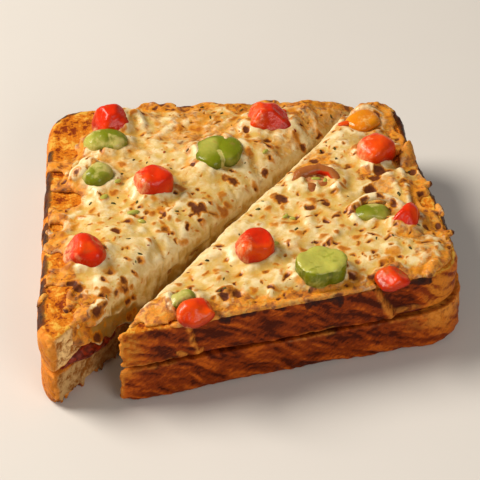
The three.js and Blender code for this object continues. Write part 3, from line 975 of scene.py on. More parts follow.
# Distance from points on the cheese to the nearest topping on that half, seen from above.
def toppingGap(side, points):
    gap = np.full(len(points), 99.0)
    for node in toppingNodes:
        if toppingSides[node] != side:
            continue
        cloud = np.unique(np.round(readPoints(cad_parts[node]), 3), axis=0)[:, :2]
        centre = cloud.mean(axis=0)
        reach = np.abs(cloud - centre).max() * 1.5 + 5
        near = np.where(np.abs(points[:, :2] - centre).max(axis=1) < reach)[0]
        if len(near) == 0:
            continue
        away = np.linalg.norm(points[near, None, :2] - cloud[None], axis=2).min(axis=1)
        gap[near] = np.minimum(gap[near], away)
    return gap


# Strands of grated cheese that have only half melted into the sheet.
def shredField(side, flat, random):
    total = np.zeros(len(flat))
    for _ in range(cheese["shreds"]):
        start = random.uniform((-5, -115), (112, 5)) * halves[side]["sign"]
        angle = random.uniform(0, math.tau)
        length = random.uniform(4, 12)
        end = start + length * np.array((math.cos(angle), math.sin(angle)))
        radius = random.uniform(1.1, 2.2)
        near = np.where(np.abs(flat - (start + end) / 2).max(axis=1) < length / 2 + radius * 1.5)[0]
        if len(near) == 0:
            continue
        away, _ = distanceToLine(flat[near], start, end)
        bump = fadeStep(0.0, 1.25, away / radius) * random.uniform(0.4, 1)
        total[near] = np.maximum(total[near], bump)
    return total * cheese["shredHeight"]


# Folds that start on top near the cut and run on over the edge and down the curtain.
def foldField(side, fromTip, path):
    line = inSpace(fromTip + 0.2 * path, 0.16 * path)
    return 0.75 * softNoise(line, 7.5, 91 if side == "left" else 93) + 0.4 * softNoise(line, 3.6, 95)


# Narrow creases across the same edge.
def creaseField(side, fromTip, path):
    line = inSpace(fromTip + 0.35 * path, 0.3 * path)
    wave = softNoise(line, 9, 98 if side == "left" else 99)
    return fadeStep(0.02, 0.16, np.abs(wave)) * smoothStep(-0.25, 0.1, softNoise(line, 12, 96))


# Height of the cheese on top and of the bread below it, with the cover and the depth behind the cut.
def sheetTop(side, points, random):
    flat = toLocal(side, points)
    cover = cheeseCover(side, flat)
    depth, fromTip = cutField(side, flat)
    flat3 = inSpace(flat)
    thickness = cheese["thickness"] * (0.25 + 0.75 * smoothStep(0, 7, cover))
    thickness += 0.45 * np.exp(-(((cover - 1.3) / 0.9) ** 2))
    thickness += 1.0 * softNoise(flat3, 9.5, 61) * smoothStep(0, 5, cover)
    thickness += 0.5 * softNoise(flat3, 4.2, 67) * smoothStep(0, 2, cover)
    thickness += 0.3 * roughNoise(flat3, 2.2, 68) * smoothStep(0, 1, cover)
    thickness += shredField(side, flat, random)
    gap = toppingGap(side, points)
    # it climbs round the pieces, apart from the flat yellow one at the first dent
    climb = cheese["climb"][0] + cheese["climb"][1] * softNoise(flat3, 3.2, 69)
    flatPiece = fadeStep(5, 9, np.hypot(*(points[:, :2] - cheeseDents[0][:2]).T))
    thickness += climb * fadeStep(0, cheese["climbReach"], gap) * smoothStep(0, 3, cover) * (1 - flatPiece)
    for x, y, radius, dent in cheeseDents:
        thickness -= dent * fadeStep(0.45 * radius, radius, np.hypot(points[:, 0] - x, points[:, 1] - y))
    near = fadeStep(1, cheese["foldReach"][side], depth)
    thickness += cheese["foldHeight"][side] * foldField(side, fromTip, -depth) * near
    thickness -= cheese["creaseDepth"] * creaseField(side, fromTip, -depth) * near
    roll = cheese["roll"][side]
    part = np.clip((roll - (depth + cheese["overhang"])) / roll, 0, 1)
    drop = cheese["rollDrop"][side] * (1 - np.sqrt(1 - part * part)) * smoothStep(8, 24, fromTip)
    under = breadTopAt(side, depth, fromTip)
    return np.maximum(breadTop + thickness - drop, under + 0.45), under, cover, depth


# Puts a grid's vertices on their front places, drops those that aren't kept, and closes the sheet
# with a second skin on the back places.
def closeSheet(bm, verts, keep, front, back):
    backOf = {}
    for vert, near, far in zip(verts, front, back):
        vert.co = Vector(near) * mm
        backOf[tuple(vert.co)] = Vector(far) * mm
    bmesh.ops.delete(bm, geom=[v for v, k in zip(verts, keep) if not k], context="VERTS")
    kept = set(v for v, k in zip(verts, keep) if k)
    faces = [f for f in bm.faces if all(v in kept for v in f.verts)]
    result = bmesh.ops.extrude_face_region(bm, geom=faces)
    for item in result["geom"]:
        if isinstance(item, bmesh.types.BMVert):
            item.co = backOf[tuple(item.co)]


# A flat grid of one-unit size, and its points from 0 to 1.
def unitGrid(bm, columns, rows):
    verts = bmesh.ops.create_grid(bm, x_segments=int(columns), y_segments=int(rows), size=0.5)["verts"]
    return verts, np.array([v.co for v in verts])[:, :2] + 0.5


def addSheet(bm, side, random):
    flat = outlineOf(side)
    low, high = flat.min(axis=0) - 1, flat.max(axis=0) + 1
    verts, unit = unitGrid(bm, *np.ceil((high - low) / cheese["cell"]))
    points = inSpace(toPart(side, low + unit * (high - low)))
    top, under, cover, depth = sheetTop(side, points, random)
    keep = (cover > 0) & (depth > -cheese["overhang"])
    front = np.column_stack((points[:, :2], top))
    closeSheet(bm, verts, keep, front, np.column_stack((points[:, :2], under - cheese["sunk"])))


# Melted folds that hang over the cut in one curtain with a ragged foot.
curtain = {
    "left": {"start": 7.5, "end": 150, "foot": 13.0, "ragged": 4.0, "rise": 0.02, "proud": (1.7, 1.1)},
    "right": {"start": 6.0, "end": 138, "foot": 16.0, "ragged": 4.0, "rise": 0.03, "proud": (0.8, 0.7)},
}


def addCurtain(bm, side):
    look = curtain[side]
    length = look["end"] - look["start"]
    top = breadTop + cheese["curtainRise"]
    span = top - cheese["curtainLowest"]
    verts, unit = unitGrid(bm, length / cheese["cell"], span / cheese["cell"])
    fromTip = look["start"] + unit[:, 0] * length
    z = top - unit[:, 1] * span
    foot = look["foot"] + look["ragged"] * roughNoise(inSpace(fromTip), 7, 97, 2)
    foot += look["rise"] * (fromTip - look["start"])
    foot += 8 * fadeStep(1, 12, fromTip - look["start"])
    foot += 6 * smoothStep(length - 16, length, fromTip - look["start"])
    proud = np.interp(fromTip, (look["start"], look["end"]), look["proud"])
    drop = top - z
    folds = foldField(side, fromTip, drop + 2) - 0.35 * creaseField(side, fromTip, drop + 2)
    bead = fadeStep(0, 3.5, np.abs(z - foot - 1.5))
    lumpy = 1 + fadeStep(20, 40, fromTip) * (side == "left")
    wall = inSpace(fromTip, z)
    rough = 0.5 * softNoise(wall, 5.5, 101) + 0.3 * roughNoise(wall, 2.6, 102)
    out = proud * (0.7 + 0.8 * folds * smoothStep(-1, 3, drop) + 0.45 * bead + lumpy * rough)
    out = np.maximum(out, 0.2)
    rolled = cheese["rollDrop"][side] * smoothStep(8, 24, fromTip)
    start, way, inward = cutFrame(side)
    local = start + way * fromTip[:, None] - inward * out[:, None]
    front = np.column_stack((toPart(side, local), z))
    back = np.column_stack((toPart(side, local + inward * (out[:, None] + cheese["curtainBack"])), z))
    keep = (z > foot) & (z < breadTop + 1.3 - rolled)
    closeSheet(bm, verts, keep, front, back)


# The strings, drips and curls, and the flattened lumps.
def addStrings(bm, side):
    for places, startRadius, endRadius in cheeseStrings[side]:
        flat = toPart(side, np.array(places)[:, :2])
        line = [(x, y, place[2]) for (x, y), place in zip(flat, places)]
        radii = np.linspace(startRadius, endRadius, len(line))
        for i in range(len(line) - 1):
            addDrop(bm, line[i], line[i + 1], radii[i], radii[i + 1])
    for place, radii, turn, tilt in cheeseLumps[side]:
        x, y = toPart(side, np.array(place[:2])[None])[0]
        addBall(bm, (x, y, place[2]), radii, turn + halves[side]["turn"], tilt)


# Toasted marks: small ragged golden dashes, many with a dark brown heart.
def markFields(side, flat, random):
    gold, heart = np.zeros(len(flat)), np.zeros(len(flat))
    flat3 = inSpace(flat)
    rough = 0.35 * roughNoise(flat3, 1.3, 87)
    bent = flat + 0.9 * np.column_stack((softNoise(flat3, 2.0, 85), softNoise(flat3, 2.0, 86)))
    tries = random.uniform((-4, -114), (110, 1), (3500, 2)) * halves[side]["sign"]
    crowd = softNoise(inSpace(tries), 13, 88)
    tries = tries[random.random(len(tries)) < 0.15 + 0.85 * smoothStep(-0.35, 0.35, crowd)]
    good = (cheeseCover(side, tries) > 0.8) & (cutField(side, tries)[0] > -0.5)
    centres = []
    for centre in tries[good]:
        if len(centres) == cheese["flecks"]:
            break
        if centres and np.linalg.norm(np.array(centres) - centre, axis=1).min() < cheese["fleckGap"]:
            continue
        centres.append(centre)
    for centre in centres:
        long = random.uniform(0.4, 1.0) ** 1.5 * 2.2
        wide = max(0.5, long * random.uniform(0.4, 0.85))
        angle = random.normal(0.5, 0.8)
        kind, strength = random.random(), random.uniform(0.6, 1)
        near = np.where(np.abs(bent - centre).max(axis=1) < long * 2.2 + 0.6)[0]
        part = bent[near] - centre
        turned = part @ np.array(((math.cos(angle), -math.sin(angle)), (math.sin(angle), math.cos(angle))))
        away = np.hypot(turned[:, 0] / long, turned[:, 1] / wide) + rough[near]
        mark = fadeStep(0.25, 1.6, away) * strength * 1.3
        core = np.zeros(len(near))
        if kind < 0.5:
            shifted = np.hypot((turned[:, 0] + 0.3 * long) / long, turned[:, 1] / wide) + rough[near]
            core = fadeStep(0.3, 0.9, shifted) * strength * 1.1
        elif kind < 0.53:
            core = fadeStep(0.0, 0.35, np.abs(away - 0.75)) * strength * 0.75
        gold[near] = np.maximum(gold[near], mark)
        heart[near] = np.maximum(heart[near], core)
    return gold, heart


def makeCheeseMaterial():
    material, tree, shader = newMaterial(
        "meltedCheese",
        Subsurface_Weight=0.08,
        Subsurface_Scale=0.0007,
        Subsurface_Radius=(1.0, 0.62, 0.28),
        Specular_IOR_Level=0.25,
        Coat_Roughness=0.2,
    )
    point = objectPoint(tree)
    toast, brown, hangingShade, gold, valley = attributes(tree, "toast", "brown", "hangingShade", "gold", "valley")
    broad = grain(tree, point, 9, 3, 0.5, 0.4)
    medium = grain(tree, point, 2.6, 3, 0.55, 0.8)
    fine = grain(tree, point, 0.8, 3, 0.6)
    # painted shade: the cheese turns from pale to yellow in its valleys, besides its random mottling; the
    # golden haze leans a little into the valleys too
    mottled = valley * 0.9 + broad * 0.5 + medium * 0.6
    # painted shade on the hanging curtain, darker towards its foot and in its valleys
    curtainShadeMask = (hangingShade + (mottled - 0.9) * 1.4).between(0.3, 1) * hangingShade.between(0.0, 0.2)
    haze = grain(tree, point, 4.2, 3, 0.6, 0.7) + (valley - 0.5) * 0.2
    # toasted rims and patches; they reach a little further into the valleys as painted shade, which leaves
    # the raised shreds paler
    warmth = (toast + (valley - 0.5) * 0.2 + (medium - 0.5) * 0.9).between(0.2, 0.8)
    blotch = grain(tree, point, 3.1, 3, 0.6, 0.5)
    glow = layered(
        tree,
        cheese["orange"],
        (fine.between(0.42, 0.58), cheese["golden"]),
        (medium.between(0.5, 0.68) * 0.7, cheese["yellow"]),
        (blotch.between(0.47, 0.57) * 0.75, cheese["amber"]),
        (blotch.between(0.58, 0.67) * 0.8, cheese["brown"]),
    )
    # small ragged islands toasted golden, the strongest of them brown
    slanted = grain(tree, turnedPoint(tree, (0, 0, 0.6), (1.5, 0.85, 1)), 1.7, 3, 0.6, 0.9)
    crossed = grain(tree, turnedPoint(tree, (0, 0, -0.7), (1.4, 0.8, 1)), 1.4, 3, 0.6, 0.9)
    islands = slanted.orMore(crossed - 0.02) + (broad - 0.5) * 0.15
    edge = (fine - 0.5) * 0.6
    baked = (gold + edge * 0.8).orMore((islands - 0.62) * 8.0)
    ragged = brown + edge
    dark = ragged.between(0.25, 0.85).orMore(islands.between(0.72, 0.78))
    colour = layered(
        tree,
        cheese["pale"],
        (mottled.between(0.68, 1.2), cheese["yellow"]),
        (curtainShadeMask * 0.85, cheese["curtainShade"]),
        (haze.between(0.52, 0.72) * 0.45, cheese["golden"]),
        (haze.between(0.64, 0.80) * 0.5, cheese["amber"]),
        (warmth * 0.95, glow),
        (baked.between(0.05, 0.75) * 0.92, cheese["golden"]),
        (baked.between(0.6, 1.15) * 0.85, cheese["amber"]),
        (dark * 0.9, cheese["brown"]),
        (ragged.between(0.9, 1.25), cheese["burnt"]),
    )
    dry = dark.orMore(warmth * 0.8)
    connect(
        tree,
        shader,
        Base_Color=colour,
        Coat_Weight=(1.0 - dry) * 0.16,
        Roughness=medium * 0.3 + 0.2 + dry * 0.3,
        Normal=bumpFrom(tree, medium * 1.2 + fine * 0.5 - dark * 0.4, 0.3, 0.4),
    )
    return material


cheeseMaterial = makeCheeseMaterial()


def makeCheese(side, seed):
    random = np.random.default_rng(seed)
    bm = bmesh.new()
    addSheet(bm, side, random)
    addCurtain(bm, side)
    addStrings(bm, side)
    bmesh.ops.recalc_face_normals(bm, faces=bm.faces)
    piece = fromBmesh(side + "_melted_cheese", bm)
    remesh(piece, cheese["voxel"], cheese["smooth"])
    points, normals = readPoints(piece), readNormals(piece)
    flat = toLocal(side, points)
    cover = cheeseCover(side, flat)
    inset = crustField(side, flat)[0]
    depth, fromTip = cutField(side, flat)
    up = smoothStep(-0.2, 0.6, normals[:, 2])
    spots = spotsAt(flat, toastedSpots[side])
    gold, heart = markFields(side, flat, random)
    push = 0.12 * roughNoise(points, 2.4, 73) + up * (0.22 * gold - 0.5 * heart - 0.35 * spots)
    moved = points + normals * push[:, None]
    under = (depth > 0.4) & (inset > 0.5) & (normals[:, 2] < 0)
    floorZ = breadTopAt(side, depth, fromTip) - 0.25
    moved[under, 2] = np.maximum(moved[under, 2], floorZ[under])
    writePoints(piece, moved)
    patches = spotsAt(flat, orangePatches[side])
    rim = fadeStep(0.5, 5.0, cover)
    toast = 0.85 * patches + 0.75 * rim + 0.25 * roughNoise(points, 5, 79) * (patches + rim)
    hanging = fadeStep(-0.3, 1.2, depth)
    drop = breadTop - moved[:, 2]
    path = np.where(depth > 0, -depth, drop)
    rolled = smoothStep(9, 24, fromTip) * fadeStep(0.4, 1.0, depth / cheese["foldReach"][side])
    # painted shade: the creases over the rolled edge are painted brown, alongside the real toasted spots,
    # marks and burnt rim
    creaseShade = 0.42 * creaseField(side, fromTip, path) * rolled
    paint(piece, "toast", toast * (1 - 0.85 * hanging * smoothStep(11, 18, fromTip)))
    farRim = 1.7 + 1.5 * (side == "right") * smoothStep(-14, -8, flat[:, 0])
    charRim = smoothStep(-0.8, 0.8, farRim * burntAt(side, flat) - 1.0 - inset)
    paint(piece, "brown", np.maximum.reduce((spots * up, heart * up, charRim, creaseShade)))
    paint(piece, "gold", np.maximum(gold * up, 0.9 * smoothStep(0, 0.3, spots * up)))
    # painted shade: the curtain darkens towards its foot, and near the left tip from higher up
    nearTip = fadeStep(24, 40, fromTip) * (side == "left")
    paint(piece, "hangingShade", hanging * (0.15 + 0.85 * smoothStep(6, 15, drop + 5 * nearTip)))
    paint(piece, "valley", np.clip(0.5 - 1.1 * standOut(piece, 26), 0, 1))
    finishPiece(piece, cheeseMaterial, "cheese", side + "_cheese")
    return piece


cheesePieces = {side: makeCheese(side, seed) for side, seed in (("left", 11), ("right", 12))}
print("cheese made")

# Chilli sauce between the slices.
sauce = {
    "dark": (0.07, 0.005, 0.001),
    "bright": (0.26, 0.022, 0.003),
    # blobs that run out at the left tip: along the cut, height and radius
    "blobs": (
        (8, 15.4, 2.4), (10.5, 15.2, 3.6), (13.5, 14.8, 4.4), (17, 14, 4), (20.5, 13, 3.2), (24, 12.8, 2.6),
    ),
}


def makeSauceMaterial(side):
    constants = {"Coat_Weight": 0.06, "Coat_Roughness": 0.15, "Specular_IOR_Level": 0.25}
    material, tree, shader = newMaterial("chilliSauce_" + side, **constants)
    mottled = grain(tree, objectPoint(tree), 1.6, 4, 0.6, 0.8)
    colour = blend(tree, mottled.between(0.35, 0.65), sauce["dark"], sauce["bright"])
    bump = bumpFrom(tree, mottled, 0.5, 0.4)
    connect(tree, shader, Base_Color=colour, Roughness=mottled * 0.25 + 0.2, Normal=bump)
    return material


def makeSauce(side):
    piece = copyOfNode(side + "_sauce", side + "_chilli_sauce")
    if side == "left":
        tip, run, inward = cutFrame(side)
        bm = bmesh.new()
        bm.from_mesh(piece.data)
        for fromTip, z, radius in sauce["blobs"]:
            place = toPart(side, (tip + run * fromTip + inward * radius * 0.35)[None])[0]
            addBall(bm, (*place, z), (radius * 1.1, radius, radius * 0.8), turn=45)
        bm.to_mesh(piece.data)
        bm.free()
    remesh(piece, 0.55, 3)
    points, normals = readPoints(piece), readNormals(piece)
    writePoints(piece, points + normals * (0.3 * roughNoise(points, 3, 83))[:, None])
    finishPiece(piece, makeSauceMaterial(side), "sauce", side + "_sauce")


for side in halves:
    makeSauce(side)
print("sauce made")

# Tomato and pepper: their colours from the skin to where they are baked; deep is painted shade on their
# undersides, lower parts and grooves.
tomato = {
    "voxel": 0.34,
    "skin": (0.64, 0.021, 0.0005),
    "flesh": (0.76, 0.075, 0.001),
    "deep": (0.24, 0.008, 0.0005),
    "film": (0.88, 0.44, 0.20),
    "baked": (0.34, 0.10, 0.02),
}
pepper = {
    "skin": (0.165, 0.19, 0.003),
    "flesh": (0.42, 0.40, 0.065),
    "deep": (0.06, 0.07, 0.003),
    "film": (0.58, 0.50, 0.15),
    "baked": (0.26, 0.17, 0.03),
}
yellow = {
    "skin": (0.70, 0.20, 0.001),
    "flesh": (0.76, 0.28, 0.003),
    "deep": (0.45, 0.11, 0.004),
    "film": (0.80, 0.48, 0.14),
    "baked": (0.55, 0.20, 0.01),
}
# How far each kind swells, and the strength and size of its bumps and wrinkles and of its flesh's show.
toppingKinds = {
    "tomato": {"swell": 0.5, "bumps": (0.65, 4.6), "wrinkles": (0.22, 1.9), "flesh": (0.35, 0.6, 5)},
    "pepper": {"swell": 0.2, "bumps": (0.35, 3.8), "wrinkles": (0.12, 1.6), "flesh": (0.45, 0.5, 4)},
}
# How much cheese film lies on each piece and from which way (part x, y), a veil of cheese all over,
# and the flat facets it was cut with: way round in degrees from +X, tilt up, and how much of its
# half size is kept.
toppingShapes = {
    "tomato_back_left": {
        "film": 0.45, "way": (-1, 0.3), "cuts": ((0, 38, 0.42), (205, 30, 0.6), (285, 30, 0.62)),
    },
    "tomato_centre_left": {"film": 0.8, "way": (-1, -0.1), "cuts": ((300, 8, 0.9),)},
    "tomato_back_edge": {
        "film": 0.6, "way": (-1, 0), "cuts": ((0, 48, 0.55), (180, 42, 0.6), (275, 32, 0.6)),
    },
    "tomato_left_edge": {"film": 0.85, "way": (-1, -0.2), "cuts": ((180, 42, 0.58), (10, 42, 0.74))},
    "tomato_right_back": {"film": 0.8, "way": (-1, 0)},
    "tomato_cut_edge": {"film": 0.3, "way": (0, -1), "relax": 5, "baked": 0.6},
    "tomato_right_edge": {"film": 0.4, "way": (-1, 0.4), "cuts": ((135, 30, 0.4), (275, 42, 0.6))},
    "tomato_centre_right": {
        "film": 0.7, "way": (-1, 0), "cuts": ((0, 82, 0.72), (160, 36, 0.7), (280, 8, 0.8)),
    },
    "tomato_tip": {"film": 0.5, "way": (-1, -0.3), "cuts": ((265, 50, 0.72), (20, 30, 0.8))},
    "tomato_front_corner": {
        "film": 0.05, "way": (-1, -0.6), "cuts": ((205, 60, 0.5), (20, 60, 0.5)), "baked": 0.25, "foot": 0,
    },
    "pepper_back_left": {"veil": 0.24, "film": 0.5, "way": (0, -1), "cuts": ((265, 55, 0.8),)},
    "pepper_left": {"veil": 0.36, "film": 0.95, "way": (-0.7, 0.7), "cuts": ((150, 40, 0.7),)},
    "pepper_hollow": {"film": 0.5, "way": (0, 1)},
    "pepper_cut_edge": {"veil": 0.15, "film": 0.5, "way": (-1, 0.4)},
    "pepper_ring": {"film": 0.5, "way": (1, 0.8), "relax": 5},
    "pepper_slice": {"veil": 0.12, "film": 0.4, "way": (-1, -0.6), "relax": 14},
    "pepper_yellow": {"film": 0.25, "way": (-1, 0), "slot": "yellow_pepper"},
}
# The browned tomato slice by the cut is a bent band: points round it in part millimetres.
tomatoBand = (
    (19.6, 4.2, 30.6), (21.8, 6.8, 31.8), (25.0, 8.0, 32.4), (28.4, 8.0, 32.6),
    (31.6, 6.4, 32.4), (33.2, 3.6, 31.4), (33.0, 1.8, 30.4),
)


# The thick pepper ring shows as two full lobes, with its hole closed by cheese: middle, radii, turn.
pepperLobes = (
    ((-4.9, 21.4, 31.5), (4.9, 6.6, 4.4), 12), ((1.3, 22.6, 31.4), (4.6, 6.2, 4.2), -14),
    ((-1.8, 25.4, 31.2), (6.0, 3.9, 4.1), 0), ((-1.8, 22.0, 30.4), (4.0, 4.0, 3.6), 0),
)


def makeToppingMaterial(name, look, gloss):
    material, tree, shader = newMaterial(
        name,
        Coat_Weight=gloss,
        Coat_Roughness=0.08,
        Subsurface_Weight=0.1,
        Subsurface_Scale=0.001,
        Subsurface_Radius=(1.0, 0.35, 0.15),
        Specular_IOR_Level=0.2,
    )
    point = objectPoint(tree)
    broad = grain(tree, point, 3.6, 3, 0.5, 0.5)
    fine = grain(tree, point, 0.8, 3, 0.6, 0.6)
    runs = grain(tree, objectPoint(tree, (1.0, 1.0, 0.4)), 1.5, 3, 0.55, 0.4)
    film, fleshy, shade, baked = attributes(tree, "film", "fleshy", "shade", "baked")
    filmy = film + (runs - 0.5) * 1.25 + (fine - 0.5) * 0.5
    colour = layered(
        tree,
        look["skin"],
        ((fleshy + broad * 0.5).between(0.4, 1.0), look["flesh"]),
        (shade, look["deep"]),
        ((baked + broad).between(0.7, 1.1), look["baked"]),
        (filmy.between(0.45, 1.15) * 0.85, look["film"]),
    )
    bump = bumpFrom(tree, broad + fine * 0.5, 0.35, 0.5)
    connect(tree, shader, Base_Color=colour, Roughness=fine * 0.22 + 0.12, Normal=bump)
    return material


toppingMaterials = {
    "tomato": makeToppingMaterial("tomatoChunk", tomato, 0.09),
    "green_pepper": makeToppingMaterial("greenPepper", pepper, 0.12),
    "yellow_pepper": makeToppingMaterial("yellowPepper", yellow, 0.2),
}


# Slices flat facets off a piece, which lies between centre - half and centre + half.
def cutFacets(bm, centre, half, cuts):
    for around, tilt, keep in cuts:
        a, t = math.radians(around), math.radians(tilt)
        way = Vector((math.cos(a) * math.cos(t), math.sin(a) * math.cos(t), math.sin(t)))
        reach = math.sqrt(sum((way[i] * half[i]) ** 2 for i in range(3)))
        geometry = bm.verts[:] + bm.edges[:] + bm.faces[:]
        place = centre + way * reach * keep
        cut = bmesh.ops.bisect_plane(bm, geom=geometry, plane_co=place, plane_no=way, clear_outer=True)
        edges = [item for item in cut["geom_cut"] if isinstance(item, bmesh.types.BMEdge)]
        bmesh.ops.edgeloop_fill(bm, edges=edges)


# The raw shape of a piece: a bent band, two lobes, or the node itself softened and sliced.
def startTopping(node):
    if node == "tomato_cut_edge":
        bm = bmesh.new()
        for a, b in zip(tomatoBand, tomatoBand[1:]):
            addDrop(bm, a, b, 1.25, 1.25)
            addDrop(bm, (a[0], a[1], 30.2), (b[0], b[1], 30.2), 1.6, 1.6)
        addBall(bm, (24.4, 1.0, 30.4), (2.6, 2.0, 1.9))
        addBall(bm, (26.4, 4.0, 30.0), (6.0, 3.8, 1.5))
        return fromBmesh(node + "_piece", bm)
    if node == "pepper_ring":
        bm = bmesh.new()
        for place, radii, turn in pepperLobes:
            addBall(bm, place, radii, turn, 0, 3)
        return fromBmesh(node + "_piece", bm)
    piece = copyOfNode(node, node + "_piece")
    soften = piece.modifiers.new("soften", "SUBSURF")
    soften.levels = 2
    soften.render_levels = 2
    applyModifiers(piece)
    low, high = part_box(node)
    bm = bmesh.new()
    bm.from_mesh(piece.data)
    cutFacets(bm, (low + high) / 2, (high - low) / 2, toppingShapes[node].get("cuts", ()))
    bm.to_mesh(piece.data)
    bm.free()
    return piece


# Cheese film on a piece: on one side, round its foot, and over the hole of the ring and the band.
def filmOn(node, points, shifted, centre, size, upward, seed):
    look = toppingShapes[node]
    way = np.array(look["way"]) / np.linalg.norm(look["way"])
    across = (points[:, :2] - centre[:2]) @ way / (0.5 * (np.abs(way) @ size[:2]))
    film = look["film"] * smoothStep(-0.3, 0.8, across + 0.35 * softNoise(shifted, 2.4, seed + 5))
    foot = fadeStep(0.05, 0.3, upward + 0.15 * softNoise(shifted, 2, seed + 6))
    film += look.get("foot", 0.4) * foot
    if node == "pepper_ring":
        ends = toPart("left", np.array(((55.0, -33.4), (56.6, -41.0))))
        away = distanceToLine(points[:, :2], *ends)[0]
        film += 1.0 - smoothStep(0.5, 1.3, away + 0.3 * softNoise(shifted, 1.5, 4))
    elif node == "tomato_cut_edge":
        away = np.hypot((points[:, 0] - 26.4) / 4.4, (points[:, 1] - 4.4) / 2.4)
        film += 0.6 * fadeStep(0.6, 1.1, away)
    elif node.startswith("pepper") and node != "pepper_slice":
        film += 0.6 * smoothStep(0.0, 0.5, softNoise(shifted, 3.2, seed + 10))
    return film + look.get("veil", 0)


def makeTopping(node, seed):
    kind = toppingKinds[node.split("_")[0]]
    look = toppingShapes[node]
    piece = startTopping(node)
    remesh(piece, tomato["voxel"], look.get("relax", 16), 0.6)
    points, normals = readPoints(piece), readNormals(piece)
    low, high = points.min(axis=0), points.max(axis=0)
    centre, size = (low + high) / 2, high - low
    shifted = points + seed * 37
    (bumps, bumpSize), (wrinkles, wrinkleSize) = kind["bumps"], kind["wrinkles"]
    push = kind["swell"] + bumps * softNoise(shifted, bumpSize, seed)
    push += wrinkles * roughNoise(shifted, wrinkleSize, seed + 3)
    up = smoothStep(0.35, 0.85, normals[:, 2])
    ground, strength, patch = kind["flesh"]
    fleshy = ground + strength * softNoise(shifted, patch, seed + 7)
    groove = np.zeros(len(points))
    if node == "pepper_slice":
        around = np.arctan2(points[:, 1] - centre[1], points[:, 0] - centre[0])
        radial = np.hypot(*((points[:, :2] - centre[:2]) / size[:2] * 2).T)
        bulge = np.cos(around * 5 + 0.9 + 0.6 * np.sin(around))
        groove = smoothStep(0.6, 1.0, bulge) * smoothStep(0.6, 0.95, radial)
        dish = fadeStep(0.1, 0.9, radial) * (normals[:, 2] > 0.5)
        push += -0.22 * groove - 0.2 * bulge * radial - 0.4 * dish
        warped = shifted + 1.8 * np.stack([softNoise(shifted, 2.3, seed + k) for k in (20, 21, 22)], axis=1)
        fleshy = up * (0.7 + 0.3 * smoothStep(0.5, 0.8, radial)) + 0.9 * roughNoise(warped, 2.7, seed + 7)
        fleshy = np.maximum(fleshy, 0.45 * up)
    moved = points + normals * push[:, None]
    if node == "pepper_ring":
        crown = 33.2 + 0.8 * softNoise(shifted, 5, seed + 11)
        moved[:, 2] = np.where(moved[:, 2] > crown, crown + 0.4 * (moved[:, 2] - crown), moved[:, 2])
        fleshy = 0.1 * up + 0.6 * softNoise(shifted, 5, seed + 7)
    writePoints(piece, moved)
    upward = (points[:, 2] - 29.5) / (high[2] - 29.5)
    bottom = fadeStep(0.15, 0.6, upward + 0.25 * softNoise(shifted, 3, seed + 8))
    under = fadeStep(-0.5, 0.3, normals[:, 2])
    baked = look.get("baked", 0.12) * up + 0.3 * (node == "tomato_cut_edge")
    paint(piece, "film", filmOn(node, points, shifted, centre, size, upward, seed))
    paint(piece, "fleshy", fleshy)
    paint(piece, "shade", np.maximum.reduce((0.7 * under, 0.6 * groove * (1 - up), 0.6 * bottom)))
    paint(piece, "baked", baked + 0.2 * roughNoise(shifted, 2.6, seed + 9))
    slotName = look.get("slot", "tomato" if node.startswith("tomato") else "green_pepper")
    finishPiece(piece, toppingMaterials[slotName], slotName, node)


for i, node in enumerate(sorted(toppingNodes)):
    makeTopping(node, 100 + i * 13)
print("tomato and pepper pieces made")

# Flecks of dried herb and chilli: how many, their half lengths and their colours.
scatterLook = {
    "herb": {"count": 56, "size": (0.4, 1.05), "colours": ((0.030, 0.022, 0.003), (0.10, 0.085, 0.012))},
    "chilli": {"count": 26, "size": (0.3, 0.8), "colours": ((0.16, 0.015, 0.004), (0.38, 0.06, 0.008))},
}
fleckShape = {"lift": 0.05, "tilt": 0.5, "slim": (0.3, 0.6), "thickness": 0.16, "uneven": 0.16}


def makeScatterMaterial(name, dark, light):
    material, tree, shader = newMaterial(name, Roughness=0.6, Specular_IOR_Level=0.2)
    point = objectPoint(tree)
    colour = blend(tree, grain(tree, point, 1.7, 2).between(0.35, 0.65), dark, light)
    bump = bumpFrom(tree, grain(tree, point, 0.3, 2), 0.4, 0.2)
    connect(tree, shader, Base_Color=colour, Normal=bump)
    return material


graph = bpy.context.evaluated_depsgraph_get()
cheeseTrees = {side: BVHTree.FromObject(piece, graph) for side, piece in cheesePieces.items()}


# Where a line straight down meets the cheese, and the way out of it there.
def onCheese(side, spot):
    above = Vector((spot[0], spot[1], 60)) * mm
    return cheeseTrees[side].ray_cast(above, Vector((0, 0, -1)))[:2]


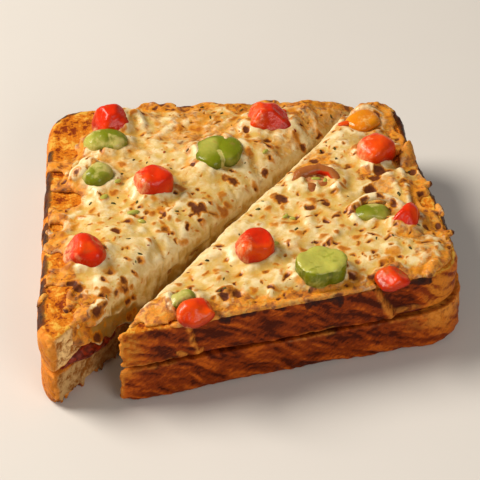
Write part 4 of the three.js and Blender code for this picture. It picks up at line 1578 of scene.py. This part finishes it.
def scatterOnCheese(kind, seed):
    look = scatterLook[kind]
    random = np.random.default_rng(seed)
    thickness, uneven = fleckShape["thickness"] * mm, fleckShape["uneven"]
    bm = bmesh.new()
    placed = 0
    while placed < look["count"]:
        side = "left" if random.random() < 0.5 else "right"
        flat = random.uniform((-2, -112), (108, 0)) * halves[side]["sign"]
        flat = flat[None]
        if cheeseCover(side, flat)[0] < 1.2 or cutField(side, flat)[0][0] < 0.6:
            continue
        spot = toPart(side, flat)[0]
        if toppingGap(side, inSpace(spot[None]))[0] < 1.0:
            continue
        hit, normal = onCheese(side, spot)
        if hit is None:
            continue
        size = random.uniform(*look["size"])
        spin = normal.to_track_quat("Z", "Y").to_matrix().to_4x4()
        matrix = (
            Matrix.Translation(hit + normal * fleckShape["lift"] * mm)
            @ spin
            @ Matrix.Rotation(random.uniform(0, math.tau), 4, "Z")
            @ Matrix.Rotation(random.uniform(-fleckShape["tilt"], fleckShape["tilt"]), 4, "X")
            @ Matrix.Diagonal((size * mm, size * random.uniform(*fleckShape["slim"]) * mm, thickness, 1))
        )
        made = bmesh.ops.create_icosphere(bm, subdivisions=1, radius=1, matrix=matrix)
        for vert in made["verts"]:
            vert.co += Vector(random.uniform(-uneven, uneven, 3) * size) * mm
        placed += 1
    piece = fromBmesh(kind + "_flecks", bm)
    finishPiece(piece, makeScatterMaterial(kind + "Fleck", *look["colours"]), "cheese")


# Small bits in the cheese: place from the half's square corner, length, width and turn.
cheeseBits = {
    "green_pepper": (
        ("left", 26.4, -58.5, 2.2, 1.1, 10), ("left", 28.8, -61.8, 1.6, 0.9, -30),
        ("right", -48.4, 37.4, 1.6, 0.8, 40), ("right", -46.4, 36.2, 1.2, 0.7, -20),
        ("right", -37, 53.6, 1.6, 0.9, 30), ("right", -34.4, 51.2, 1.8, 0.9, -10),
        ("right", -31.6, 50.2, 1.4, 0.8, 60), ("left", 22, -44, 1.5, 0.8, 30),
        ("left", 33, -44.5, 1.4, 0.7, 0), ("right", -55, 26, 1.3, 0.7, 15),
        ("left", 70, -30.5, 1.4, 0.7, 45), ("left", 17.5, -50.5, 2, 1.2, 50),
    ),
    "tomato": (
        ("right", -16.6, 76.4, 3, 1.2, 10), ("left", 9.4, -13.8, 1.8, 1.2, 20),
        ("left", 77.5, -10.5, 1.3, 1, 0),
    ),
}


def makeBits(slotName, seed):
    random = np.random.default_rng(seed)
    bm = bmesh.new()
    for side, x, y, long, wide, turn in cheeseBits[slotName]:
        hit = onCheese(side, toPart(side, np.array(((x, y),)))[0])[0]
        if hit is None:
            continue
        first = len(bm.verts)
        addBall(bm, tuple(hit / mm), (long, wide, 0.7), turn)
        bm.verts.ensure_lookup_table()
        for vert in bm.verts[first:]:
            vert.co += Vector(random.uniform(-0.12, 0.12, 3)) * mm
    piece = fromBmesh(slotName + "_bits", bm)
    remesh(piece, 0.3, 4)
    count = len(piece.data.vertices)
    for name, value in (("film", 0.35), ("fleshy", 0.7), ("shade", 0.1), ("baked", 0.1)):
        paint(piece, name, np.full(count, value))
    finishPiece(piece, toppingMaterials[slotName], slotName)


makeBits("green_pepper", 31)
makeBits("tomato", 32)
scatterOnCheese("herb", 21)
scatterOnCheese("chilli", 22)
print("flecks scattered")
